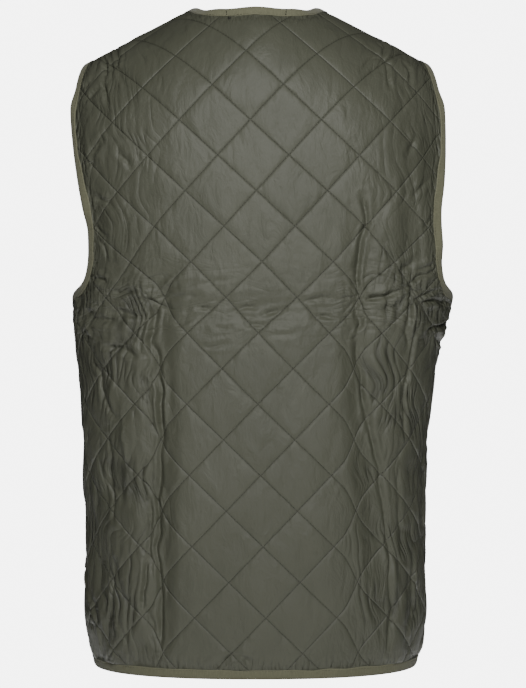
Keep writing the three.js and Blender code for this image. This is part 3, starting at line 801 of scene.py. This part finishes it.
def add_mesh(name, points, faces, materials):
    mesh = bpy.data.meshes.new(name)
    mesh.from_pydata(np.asarray(points).tolist(), [], faces)
    mesh.update()
    mesh.shade_smooth()
    for material in materials:
        mesh.materials.append(material)
    piece = bpy.data.objects.new(name, mesh)
    bpy.context.scene.collection.objects.link(piece)
    return piece


def set_uv(piece, flat, name="flat"):
    layer = piece.data.uv_layers.new(name=name)
    corner = np.empty(len(piece.data.loops), int)
    piece.data.loops.foreach_get("vertex_index", corner)
    layer.data.foreach_set("uv", np.asarray(flat)[corner].ravel())


def crease_points(panel):
    """Extra mesh points in rows along the creases, so that they come out sharp."""
    rows = BACK_CREASES if panel == "back" else FRONT_CREASES
    out = []
    for row in rows:
        line = evenly(np.array(row["path"]) * MM, CREASE_STEP)
        across = square_to(unit(np.gradient(line, axis=0)))
        out += [line + across * off for off in CREASE_ROWS]
    for row in PINCHES:
        if row["panel"] != panel:
            continue
        for r in np.arange(RING["gap"], row["reach"] * MM, RING["gap"]):
            turn = np.arange(0, 2 * math.pi, RING["step"] / r)
            ring = np.stack([np.cos(turn), np.sin(turn)], axis=1) * r
            out.append(ring + np.array([row["u"], row["v"]]) * MM)
    return np.vstack(out)


def thinned(points, gap):
    """The points less those that share a small square with an earlier one."""
    cells = np.floor(points / gap).astype(int)
    _, kept = np.unique(cells, axis=0, return_index=True)
    return points[np.sort(kept)]


def flat_mesh(panel, side, steps, sharp):
    """Points and triangles of a panel's flat cut, in rows along the quilting."""
    border = outline(panel, side, EDGE_STEP)
    rows = (np.arange(-ROWS, ROWS)[:, None] + np.array(steps)[None, :]).ravel() * DIAMOND
    a, b = np.meshgrid(rows, rows)
    grid = np.stack(from_lattice(a.ravel(), b.ravel()), axis=1)
    if sharp:
        grid = np.vstack([crease_points(panel), grid])
    grid = grid[in_box(grid, border.min(axis=0), border.max(axis=0))]
    if sharp:
        grid = thinned(grid, LEAST_GAP)
    grid = grid[inside(grid, border)]
    closed = np.vstack([border, border[:1]])
    grid = grid[distance_to([closed], grid) > LEAST_GAP]
    points = [Vector(p) for p in np.vstack([border, grid])]
    rim = [(i, (i + 1) % len(border)) for i in range(len(border))]
    made = delaunay_2d_cdt(points, rim, [], 1, 1e-7)
    return np.array([tuple(p) for p in made[0]]), np.array(made[2]), len(border)


def facing_out(panel, points, triangles):
    a, b, c = (points[triangles[:, k]] for k in range(3))
    outward = (np.cross(b - a, c - a)[:, 1] * ORDER[panel]).sum() > 0
    return triangles if outward else triangles[:, ::-1]


def build_panel(name, panel, side, materials):
    flat, triangles, rim = flat_mesh(panel, side, DIAMOND_STEPS, True)
    lining, lining_triangles, _ = flat_mesh(panel, side, LINING_STEPS, False)
    outer, _ = outer_and_inner(panel, flat)
    _, inner = outer_and_inner(panel, lining)
    front = surface(panel, flat[:, 0], flat[:, 1], outer)
    behind = surface(panel, lining[:, 0], lining[:, 1], inner)
    triangles = facing_out(panel, front, triangles)
    lining_triangles = facing_out(panel, behind, lining_triangles)[:, ::-1]
    count = len(flat)
    pairs = {(i, j) for t in triangles.tolist() for i, j in zip(t, t[1:] + t[:1])}
    edges = [(i, (i + 1) % rim) for i in range(rim)]
    edges = [(i, j) if (i, j) in pairs else (j, i) for i, j in edges]
    faces = triangles.tolist() + (lining_triangles + count).tolist()
    faces += [(j, i, i + count, j + count) for i, j in edges]
    piece = add_mesh(name, np.vstack([front, behind]), faces, materials)
    places = np.vstack([flat, lining])
    set_uv(piece, places)
    set_uv(piece, np.stack(to_lattice(places[:, 0], places[:, 1]), axis=1), "lattice")
    edge = piece.data.attributes.new("from_tape", "FLOAT", "POINT")
    edge.data.foreach_set("value", from_tape(panel, places))
    slots = np.zeros(len(faces), int)
    slots[len(triangles) : len(triangles) + len(lining_triangles)] = 1
    piece.data.polygons.foreach_set("material_index", slots)
    return piece


# Stitches


def stitches(name, rows, size, material):
    """Short threads. Each row is a panel's name, the flat ends of its threads and their height."""
    points, faces = [], []
    first = 0
    for panel, starts, ends, height in rows:
        middle = (starts + ends) / 2
        way = ends - starts
        across = square_to(unit(way)) * size["half"]
        rings = []
        for t, wide in ((-0.5, 0.35), (-0.28, 1.0), (0.28, 1.0), (0.5, 0.35)):
            spot = middle + way * t
            low = height - size["high"] * 1.2
            high = height + size["high"] * (2 * wide - 1)
            for off, level in ((across * wide, low), (-across * wide, low), (across * 0, high)):
                place = spot + off
                rings.append(surface(panel, place[:, 0], place[:, 1], level))
        points.append(np.stack(rings, axis=1).reshape(-1, 3))
        for at in range(first, first + 12 * len(starts), 12):
            faces.append((at, at + 2, at + 1))
            faces.append((at + 9, at + 10, at + 11))
            for a in (at, at + 3, at + 6):
                for i, j in ((0, 1), (1, 2), (2, 0)):
                    faces.append((a + i, a + j, a + 3 + j, a + 3 + i))
        first += 12 * len(starts)
    return add_mesh(name, np.vstack(points), faces, [material])


def quilt_stitch_ends(panel, side):
    """Flat ends of the threads along the quilting lines of a panel."""
    border = outline(panel, side, 0.005)
    count = int(0.62 / STITCH["pitch"])
    along = (np.arange(-count, count) + 0.5) * STITCH["pitch"]
    starts, ends = [], []
    for k in range(-ROWS, ROWS + 1):
        for turned in (False, True):
            shift = 0.0013 * (k % 3)
            low, high = along + shift - STITCH["length"] / 2, along + shift + STITCH["length"] / 2
            line = np.full_like(along, k * DIAMOND)
            pair = ((low, line), (high, line)) if turned else ((line, low), (line, high))
            starts.append(np.stack(from_lattice(*pair[0]), axis=1))
            ends.append(np.stack(from_lattice(*pair[1]), axis=1))
    starts, ends = np.vstack(starts), np.vstack(ends)
    near = in_box(starts, border.min(axis=0), border.max(axis=0))
    starts, ends = starts[near], ends[near]
    kept = inside(starts, border) & inside(ends, border)
    kept &= from_tape(panel, starts) > 0.0004
    for name in ("side", "shoulder"):
        kept &= from_seam(panel, starts, name) > 0.0015
    return starts[kept], ends[kept]


# Tapes


def inward(line):
    """Flat directions into the panel, square to its edge."""
    square = square_to(unit(np.gradient(line, axis=0)))
    heart = np.array([0.1, -0.36]) - line
    return square * np.sign((square * heart).sum(axis=1))[:, None]


# Which way a tape's inner edge runs at the start and the end of a panel's edge
SEAM_WAYS = {
    "neck": (None, "shoulder_out"),
    "armhole": ("down", "shoulder_in"),
    "hem": (None, "up"),
}


def seam_way(panel, name):
    if name == "down":
        return np.array([float(side_seam(panel, UNDERARM - 0.01) - side_seam(panel, UNDERARM)), -0.01])
    if name == "up":
        low = HEM + HEM_RISE
        return np.array([float(side_seam(panel, low + 0.01) - side_seam(panel, low)), 0.01])
    x, step = (NECK_HALF, 0.01) if name == "shoulder_out" else (SHOULDER_HALF, -0.01)
    return np.array(shoulder(panel, x + step)) - np.array(shoulder(panel, x))


def tape_stations(panel, edge):
    """Points along a panel's edge, each with its direction inward for one metre of tape width."""
    line = evenly(LINES[panel][edge], TAPE_STEP)
    square = inward(line)
    length = length_along(line)
    ways = square.copy()
    for name, gap in zip(SEAM_WAYS[edge], (length, length[-1] - length)):
        if name is None:
            continue
        toward = seam_way(panel, name)
        toward = toward / np.linalg.norm(toward)
        share = (1 - smoothstep(gap, 0, TAPE_JOIN))[:, None]
        mixed = square * (1 - share) + toward * share
        mixed /= (mixed * square).sum(axis=1)[:, None]
        ways = np.where(share > 0, mixed, ways)
    return [(panel, point, way) for point, way in zip(line, ways)]


def mirrored(stations):
    return [(panel, point * [-1, 1], way * [-1, 1]) for panel, point, way in stations]


def tape_profile():
    """The tape's folded section: distance in from the cut edge, and height."""
    thick, width, top = TAPE_THICK, TAPE_WIDTH, WALL
    outside = [
        (width, top + 0.0002),
        (width, top + thick),
        (width - 0.0010, top + thick + 0.0002),
        (width * 0.70, top + thick),
        (width * 0.45, top + thick + 0.0002),
        (width * 0.20, top + thick + 0.0001),
        (0.0008, top + thick * 0.75),
        (-0.0001, top + 0.0001),
        (-0.0006, top * 0.5),
        (-0.0001, -0.0001),
        (0.0008, -thick * 0.75),
        (width * 0.25, -thick - 0.0001),
        (width * 0.70, -thick),
        (width, -thick),
    ]
    within = [
        (width, -0.0001),
        (0.0010, -0.00005),
        (0.0003, top * 0.5),
        (0.0010, top + 0.00005),
        (width - 0.0014, top + 0.00005),
    ]
    return outside + within


PROFILE = tape_profile()


def tape_points(stations):
    """Points of the tape's section at every station, and their flat places for the ribs."""
    panels = np.array([panel for panel, _, _ in stations])
    spots = np.array([point for _, point, _ in stations])
    ways = np.array([way for _, _, way in stations])
    run = np.arange(len(stations)) * TAPE_STEP
    wander = 0.0004 * noise(run, run * 0, 0.018, 1, 6)
    swell = 0.00022 * noise(run, run * 0, 0.007, 1, 7)
    rings = np.zeros((len(stations), len(PROFILE), 3))
    for k, (inset, height) in enumerate(PROFILE):
        share = np.clip(inset / TAPE_WIDTH, 0, 1)
        flat = spots + ways * (inset + wander * share)[:, None]
        level = height + (swell * share if height > WALL / 2 else 0 * swell)
        for panel in ORDER:
            own = panels == panel
            if own.any():
                base = folds(panel, flat[own])
                rings[own, k] = surface(panel, flat[own, 0], flat[own, 1], base + level[own])
    across = np.cumsum([0] + [math.dist(a, b) for a, b in zip(PROFILE[:-1], PROFILE[1:])])
    flats = np.stack(np.broadcast_arrays(run[:, None], across[None, :]), axis=2)
    return rings, flats


def tube(name, rings, flats, closed, material):
    """A closed mesh through rings of points, whose last ring meets the first where closed."""
    count, size = rings.shape[:2]
    faces = []
    for i in range(count if closed else count - 1):
        here, there = i * size, (i + 1) % count * size
        for k in range(size):
            j = (k + 1) % size
            faces.append((here + k, there + k, there + j, here + j))
    if not closed:
        faces.append(tuple(range(size)))
        faces.append(tuple(range(count * size - 1, (count - 1) * size - 1, -1)))
    piece = add_mesh(name, rings.reshape(-1, 3), faces, [material])
    set_uv(piece, np.reshape(flats, (-1, 2)))
    face_outward(piece)
    return piece


def build_tape(name, stations, closed):
    return tube(name, *tape_points(stations), closed, BRAID)


def face_outward(piece):
    """Turns a closed mesh inside out if it encloses less than nothing."""
    mesh = piece.data
    mesh.calc_loop_triangles()
    volume = 0.0
    for triangle in mesh.loop_triangles:
        a, b, c = (mesh.vertices[i].co for i in triangle.vertices)
        volume += a.dot(b.cross(c))
    if volume < 0:
        mesh.flip_normals()


ARMHOLE = tape_stations("back", "armhole") + tape_stations("front", "armhole")[::-1][1:-1]
NECK = tape_stations("front", "neck")[:-1] + tape_stations("back", "neck")[::-1]
NECK = NECK + mirrored(NECK)[::-1][1:]
HEMLINE = tape_stations("front", "hem")[:-1] + tape_stations("back", "hem")[::-1]
HEMLINE = HEMLINE + mirrored(HEMLINE)[::-1][1:]


def tape_stitch_rows(stations):
    """Threads along a tape, a little in from its inner edge, on both faces."""
    rows = []
    for panel in ORDER:
        for side in (1, -1):
            own = [s for s in stations if s[0] == panel and s[1][0] * side > -1e-9]
            if len(own) < 3:
                continue
            spots = np.array([point + way * (TAPE_WIDTH - TAPE_STITCH_INSET) for _, point, way in own])
            for part in unbroken(spots):
                line = evenly(part, TAPE_STITCH["pitch"] / 2)
                starts, ends = line[0:-1:2], line[1::2]
                starts = starts[: len(ends)]
                long = TAPE_STITCH["length"] * 2 / TAPE_STITCH["pitch"]
                ends = starts + (ends - starts) * long
                base = folds(panel, starts)
                rows.append((panel, starts, ends, base + WALL + TAPE_THICK + 0.0001))
                rows.append((panel, starts, ends, base - TAPE_THICK + 0.0001))
    return rows


def unbroken(spots):
    """The points split wherever one lies far from the next."""
    jumps = np.nonzero(np.linalg.norm(np.diff(spots, axis=0), axis=1) > 0.01)[0] + 1
    return [part for part in np.split(spots, jumps) if len(part) > 2]


def loop_stitch_rows():
    """Threads down the back neck's tape where the loop inside it is sewn on, and a tack below."""
    neck = LINES["back"]["neck"]
    long = LOOP_STITCH["length"]
    rows = []
    for u in LOOP_STITCHES:
        top = np.interp(abs(u), neck[:, 0], neck[:, 1])
        down = top - np.arange(0.0008, TAPE_WIDTH - long, LOOP_STITCH["pitch"])
        starts = np.stack([np.full_like(down, u), down], axis=1)
        height = folds("back", starts) + WALL + TAPE_THICK + 0.0003
        rows.append(("back", starts, starts - [0, long], height))
    down = TACK["v"] - np.arange(TACK["rows"]) * 0.0009
    starts = np.stack([np.full_like(down, TACK["u"] - TACK["long"] / 2), down], axis=1)
    height = folds("back", starts) + WALL + 0.0007
    rows.append(("back", starts, starts + [TACK["long"], 0], height))
    return rows


# Materials


class Graph:
    """A new material's nodes, and short ways to add and join them."""

    def __init__(self, name):
        self.material = bpy.data.materials.new(name)
        self.material.use_nodes = True
        self.nodes = self.material.node_tree.nodes
        self.links = self.material.node_tree.links

    def fill(self, node, inputs):
        """Joins inputs to other nodes' outputs, or sets them to plain values."""
        for name, value in inputs.items():
            if isinstance(value, bpy.types.NodeSocket):
                self.links.new(value, node.inputs[name])
            else:
                node.inputs[name].default_value = value

    def add(self, kind, output, inputs, **settings):
        """Adds a node and gives one of its outputs."""
        node = self.nodes.new("ShaderNode" + kind)
        for name, value in settings.items():
            setattr(node, name, value)
        self.fill(node, inputs)
        return node.outputs[output]

    def finished(self, inputs):
        """Fills the shader's inputs and gives the material."""
        self.fill(self.nodes["Principled BSDF"], inputs)
        return self.material

    def place(self):
        return self.add("TexCoord", "Object", {})

    def flat(self, name="flat"):
        return self.add("UVMap", "UV", {}, uv_map=name)

    def parted(self, vector):
        node = self.nodes.new("ShaderNodeSeparateXYZ")
        self.links.new(vector, node.inputs["Vector"])
        return node.outputs["X"], node.outputs["Y"]

    def stretched(self, source, scale):
        return self.add("Mapping", "Vector", {"Scale": scale, "Vector": source})

    def math(self, operation, *values):
        return self.add("Math", "Value", dict(enumerate(values)), operation=operation)

    def product(self, first, *others):
        for other in others:
            first = self.math("MULTIPLY", first, other)
        return first

    def faded(self, value, low, high, start, end):
        """Goes smoothly from start to end as a value goes from low to high."""
        ends = {"From Min": low, "From Max": high, "To Min": start, "To Max": end}
        return self.add("MapRange", "Result", {"Value": value, **ends}, interpolation_type="SMOOTHSTEP")

    def noise(self, source, scale, detail=2.0, output="Fac", **more):
        inputs = {"Vector": source, "Scale": scale, "Detail": detail, **more}
        return self.add("TexNoise", output, inputs)

    def ridged(self, source, scale, detail):
        """Noise with narrow ridges. The scale is how many a metre has, across and up."""
        vector = self.stretched(source, (*scale, 1))
        inputs = {"Vector": vector, "Scale": 1, "Detail": detail, "Offset": 1.0}
        return self.add("TexNoise", "Fac", inputs, noise_type="RIDGED_MULTIFRACTAL")

    def waves(self, source, direction, scale):
        return self.add("TexWave", "Fac", {"Vector": source, "Scale": scale}, bands_direction=direction)

    def ramp(self, source, *stops):
        node = self.nodes.new("ShaderNodeValToRGB")
        for element, (place, colour) in zip(node.color_ramp.elements, stops):
            element.position = place
            element.color = (*colour, 1)
        self.links.new(source, node.inputs["Fac"])
        return node.outputs["Color"]

    def darkened(self, colour, where, share):
        """A colour times a share where a mask is one."""
        inputs = {"Fac": where, "Color1": colour, "Color2": (share, share, share, 1)}
        return self.add("MixRGB", "Color", inputs, blend_type="MULTIPLY")

    def bump(self, height, strength, distance, before=None):
        inputs = {"Height": height, "Strength": strength, "Distance": distance}
        if before is not None:
            inputs["Normal"] = before
        return self.add("Bump", "Normal", inputs)


def from_stitching(graph):
    """Distance from the nearest row of quilting stitches, in metres."""
    rows = graph.parted(graph.flat("lattice"))
    return graph.math("MINIMUM", *(graph.math("PINGPONG", row, DIAMOND / 2) for row in rows))


def bent(graph, flat):
    """Flat places that drift to and fro, so that the wrinkles drawn on them wander."""
    drift = graph.noise(flat, 16, 1, "Color")
    inputs = {0: drift, 1: (0.05, 0.05, 0), 2: flat}
    return graph.add("VectorMath", "Vector", inputs, operation="MULTIPLY_ADD")


def side_creases(graph, flat, wandering):
    """The crumpling of the sides, in patches and least at the centre line."""
    across, up = graph.parted(flat)
    sides = graph.faded(graph.math("ABSOLUTE", across), 0.07, 0.13, CRINKLE["middle"], 1.0)
    below_arms = graph.faded(up, -0.30, -0.24, 1.0, 0.55)
    patches = graph.faded(graph.noise(flat, 17), 0.38, 0.62, 0.35, 1.0)
    return graph.product(graph.ridged(wandering, (88, 17), 3), sides, below_arms, patches)


def cloth_relief(graph, flat, stitching, wandering, crumples):
    """The cloth's small wrinkles, weave and stitching as heights in metres."""
    across, up = graph.parted(flat)
    from_waist = graph.math("ABSOLUTE", graph.math("SUBTRACT", up, WAIST))
    at_waist = graph.faded(from_waist, 0.010, 0.060, 1.0, 0.0)
    at_sides = graph.faded(graph.math("ABSOLUTE", across), 0.03, 0.12, 0.25, 1.0)
    from_edge = graph.add("Attribute", "Fac", {}, attribute_name="from_tape")
    at_edge = graph.faded(from_edge, 0.0, 0.016, 1.0, 0.0)
    fine = graph.stretched(flat, (62, 30, 1))
    layers = [
        (crumples, -CRINKLE["upright"]),
        (graph.product(graph.ridged(wandering, (19, 85), 2), at_waist, at_sides), -CRINKLE["level"]),
        (graph.product(graph.ridged(flat, (190, 60), 2), at_edge), -CRINKLE["gathers"]),
        (graph.noise(fine, 1, 5, Roughness=0.55, Distortion=0.5), CRINKLE["all"]),
        (graph.product(graph.waves(flat, "X", 520), graph.waves(flat, "Y", 520)), 0.00005),
        (graph.faded(stitching, 0.0, 0.0012, 0.0, 1.0), 0.0004),
    ]
    total = 0.0
    for layer, height in layers:
        total = graph.math("MULTIPLY_ADD", layer, height, total)
    return total


def cloth_material(name, dark, light, rough):
    """Fine plain-woven nylon, creased, with painted shade along its stitching and in its creases."""
    graph = Graph(name)
    flat = graph.flat()
    stitching = from_stitching(graph)
    wandering = bent(graph, flat)
    crumples = side_creases(graph, flat, wandering)
    colour = graph.ramp(graph.noise(graph.place(), 14, 5), (0.34, dark), (0.68, light))
    # Painted shade: within about a millimetre of each row of quilting stitches the cloth's colour is
    # darkened to 0.74, standing for the shade in the stitching's grooves.
    colour = graph.darkened(colour, graph.faded(stitching, 0.0001, 0.0007, 1.0, 0.0), 0.74)
    # Painted shade: where the sides crumple, the cloth's colour is darkened to 0.68, standing for the
    # shade inside the creases.
    colour = graph.darkened(colour, graph.faded(crumples, 0.5, 1.5, 0.0, 1.0), 0.68)
    relief = cloth_relief(graph, flat, stitching, wandering, crumples)
    return graph.finished(
        {
            "Base Color": colour,
            "Normal": graph.bump(relief, 1.0, 1.0),
            "Roughness": rough,
            "Specular IOR Level": 0.5,
        }
    )


def tape_material(name, dark, light):
    """Ribbed braid: fine ribs across the tape."""
    graph = Graph(name)
    flat = graph.flat()
    fibres = graph.noise(graph.stretched(flat, (900, 160, 1)), 1, 3)
    ribs = graph.bump(graph.waves(flat, "X", 290), 0.5, 0.0003)
    return graph.finished(
        {
            "Base Color": graph.ramp(fibres, (0.25, dark), (0.75, light)),
            "Normal": graph.bump(fibres, 0.3, 0.0004, ribs),
            "Roughness": 0.72,
            "Sheen Weight": 0.25,
        }
    )


def thread_material(name, dark, light):
    graph = Graph(name)
    fibres = graph.noise(graph.place(), 1800)
    colour = graph.ramp(fibres, (0.3, dark), (0.7, light))
    normal = graph.bump(fibres, 0.4, 0.0001)
    return graph.finished({"Base Color": colour, "Normal": normal, "Roughness": 0.6})


def brass_material(name):
    """Aged brass, darker in patches and rubbed brighter elsewhere."""
    graph = Graph(name)
    where = graph.place()
    patches = graph.noise(where, 160, 4)
    scratches = graph.noise(graph.stretched(where, (900, 900, 120)), 1)
    return graph.finished(
        {
            "Base Color": graph.ramp(patches, (0.35, (0.10, 0.065, 0.025)), (0.65, (0.30, 0.19, 0.075))),
            "Roughness": graph.ramp(patches, (0.3, (0.50, 0.50, 0.50)), (0.7, (0.30, 0.30, 0.30))),
            "Normal": graph.bump(scratches, 0.2, 0.0001),
            "Metallic": 1.0,
        }
    )


OUTER_CLOTH = cloth_material("outer_cloth", (0.122, 0.127, 0.090), (0.140, 0.145, 0.105), 0.50)
LINING_CLOTH = cloth_material("lining_cloth", (0.112, 0.116, 0.088), (0.126, 0.130, 0.100), 0.55)
BRAID = tape_material("braid", (0.212, 0.213, 0.132), (0.280, 0.280, 0.177))
ZIP_CLOTH = tape_material("zip_cloth", (0.040, 0.043, 0.031), (0.062, 0.066, 0.048))
# Painted shade: the quilting thread is the cloth's own colour, but it is drawn far darker to stand for
# the shade in the stitching's grooves. The loop stitches and the tack share this dark thread.
QUILT_THREAD = thread_material("quilt_thread", (0.026, 0.027, 0.021), (0.044, 0.045, 0.035))
TAPE_THREAD = thread_material("tape_thread", (0.100, 0.098, 0.066), (0.140, 0.136, 0.092))
BRASS = brass_material("brass")

# Camera

camera_data = bpy.data.cameras.new("camera")
camera_data.sensor_width = SENSOR
camera_data.lens = FOCAL_LENGTH / PHOTO_TALL * SENSOR
camera = bpy.data.objects.new("camera", camera_data)
camera.location = CAMERA_PLACE
camera.rotation_euler = (math.radians(90), 0, math.radians(180))
bpy.context.scene.collection.objects.link(camera)
bpy.context.scene.camera = camera

# Panels, tapes and stitches

PANELS = {"back": ("back", 1), "front_left": ("front", 1), "front_right": ("front", -1)}
cloth = {}
for node, (panel, side) in PANELS.items():
    piece = build_panel(node + "_cloth", panel, side, [OUTER_CLOTH, LINING_CLOTH])
    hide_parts(node)
    cloth[node] = piece

tapes = {
    "neck_binding": build_tape("neck_tape", NECK, False),
    "armhole_binding_left": build_tape("armhole_tape_left", ARMHOLE, True),
    "armhole_binding_right": build_tape("armhole_tape_right", mirrored(ARMHOLE), True),
    "hem_binding": build_tape("hem_tape", HEMLINE, False),
}
for node, piece in tapes.items():
    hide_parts(node)

threads = []
for node, (panel, side) in PANELS.items():
    starts, ends = quilt_stitch_ends(panel, side)
    outer, inner = outer_and_inner(panel, (starts + ends) / 2)
    rows = [(panel, starts, ends, outer + 0.0001)]
    threads.append(stitches(node + "_quilt_stitches", rows, STITCH, QUILT_THREAD))
    rows = [(panel, starts, ends, inner - 0.0001)]
    threads.append(stitches(node + "_lining_stitches", rows, STITCH, QUILT_THREAD))
ALL_TAPES = [NECK, ARMHOLE, mirrored(ARMHOLE), HEMLINE]
tape_rows = [row for stations in ALL_TAPES for row in tape_stitch_rows(stations)]
threads.append(stitches("tape_stitches", tape_rows, TAPE_STITCH, TAPE_THREAD))
threads.append(stitches("loop_stitches", loop_stitch_rows(), LOOP_STITCH, QUILT_THREAD))

for piece in [*cloth.values(), *tapes.values(), *threads]:
    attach(piece, "vest")

# Zip


def zip_cloth(name, side):
    """One half of the zip's tape, with a corded edge under the teeth."""
    heights = np.arange(HEM + 0.0005, ZIP_TOP + 0.0055, 0.003)
    inner, outer = ZIP_TAPE_OUT["inner"], ZIP_TAPE_OUT["outer"]
    section_points = [
        (0.0010, inner + 0.0002),
        (0.0010, outer + 0.0009),
        (0.0022, outer + 0.0010),
        (0.0030, outer + 0.0001),
        (0.0100, outer),
        (ZIP_TAPE_WIDTH, outer - 0.0001),
        (ZIP_TAPE_WIDTH, inner + 0.0001),
        (0.0100, inner),
    ]
    rings = []
    for across, out in section_points:
        rings.append(surface("front", np.full_like(heights, side * across), heights, out))
    flats = [(height, across) for height in heights for across, _ in section_points]
    return tube(name, np.stack(rings, axis=1), flats, False, ZIP_CLOTH)


def zip_teeth(name):
    """Brass teeth, the left row half a pitch above the right one so that they mesh."""
    points, faces = [], []
    count = int((ZIP_TOP - TEETH["below_top"] - HEM - TEETH["above_hem"]) / TOOTH["pitch"])
    for side, shift in ((1, 0.0), (-1, 0.5)):
        heights = HEM + TEETH["above_hem"] + (np.arange(count) + shift) * TOOTH["pitch"]
        corners = []
        for across, thin in ((-0.0007, 0.7), (0.0008, 1.0), (TOOTH["reach"], 0.8)):
            for level in (-0.5, 0.5):
                for out in (TOOTH["inner"] - 0.0004, TOOTH["outer"]):
                    v = heights + level * thin * TOOTH["tall"]
                    corners.append(surface("front", np.full_like(v, side * across), v, out))
        block = np.stack(corners, axis=1)
        for tooth in block:
            at = len(points)
            points.extend(tooth)
            for ring in (0, 4):
                for i, j in ((0, 1), (1, 3), (3, 2), (2, 0)):
                    a, b = at + ring + i, at + ring + j
                    faces.append((a, b, b + 4, a + 4) if side > 0 else (b, a, a + 4, b + 4))
            ends = [(at + 2, at + 3, at + 1, at), (at + 8, at + 9, at + 11, at + 10)]
            faces += ends if side > 0 else [end[::-1] for end in ends]
    piece = add_mesh(name, points, faces, [BRASS])
    piece.data.polygons.foreach_set("use_smooth", [False] * len(faces))
    return piece


zip_pieces = [zip_cloth("zip_cloth_left", 1), zip_cloth("zip_cloth_right", -1)]
for piece, node in zip(zip_pieces, ("zip_tape_left", "zip_tape_right")):
    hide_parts(node)
    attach(piece, "vest")
teeth = zip_teeth("zip_teeth")
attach(teeth, "vest")
for node in ("zip_slider", "zip_pull", "zip_box"):
    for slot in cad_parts[node].material_slots:
        slot.material = BRASS

# Lights, background and floor


def area_light(name, place, target, size, power):
    data = bpy.data.lights.new(name, "AREA")
    data.size = size
    data.energy = power
    light = bpy.data.objects.new(name, data)
    light.location = place
    way = Vector(target) - Vector(place)
    light.rotation_euler = way.to_track_quat("-Z", "Y").to_euler()
    bpy.context.scene.collection.objects.link(light)


def studio_world():
    """A pale backdrop to look at, and a softer light from all round."""
    world = bpy.data.worlds.new("studio")
    world.use_nodes = True
    nodes, links = world.node_tree.nodes, world.node_tree.links
    soft, backdrop = nodes["Background"], nodes.new("ShaderNodeBackground")
    for background, strength in ((soft, SOFT_LIGHT), (backdrop, BACKDROP)):
        background.inputs["Color"].default_value = (1, 1, 1, 1)
        background.inputs["Strength"].default_value = strength
    rays = nodes.new("ShaderNodeLightPath")
    mix = nodes.new("ShaderNodeMixShader")
    links.new(rays.outputs["Is Camera Ray"], mix.inputs["Fac"])
    links.new(soft.outputs["Background"], mix.inputs[1])
    links.new(backdrop.outputs["Background"], mix.inputs[2])
    links.new(mix.outputs["Shader"], nodes["World Output"].inputs["Surface"])
    bpy.context.scene.world = world


def pale_floor():
    graph = Graph("pale_floor")
    grain = graph.noise(graph.place(), 3)
    colour = graph.ramp(grain, (0.3, (0.80, 0.80, 0.80)), (0.7, (0.84, 0.84, 0.84)))
    return graph.finished({"Base Color": colour})


for light in LIGHTS:
    area_light(**light)
studio_world()

SQUARE = [(-1, -1), (1, -1), (1, 1), (-1, 1)]
corners = [(x * FLOOR["half"], y * FLOOR["half"], FLOOR["z"]) for x, y in SQUARE]
floor = add_mesh("floor", corners, [(0, 1, 2, 3)], [pale_floor()])
floor.visible_diffuse = False
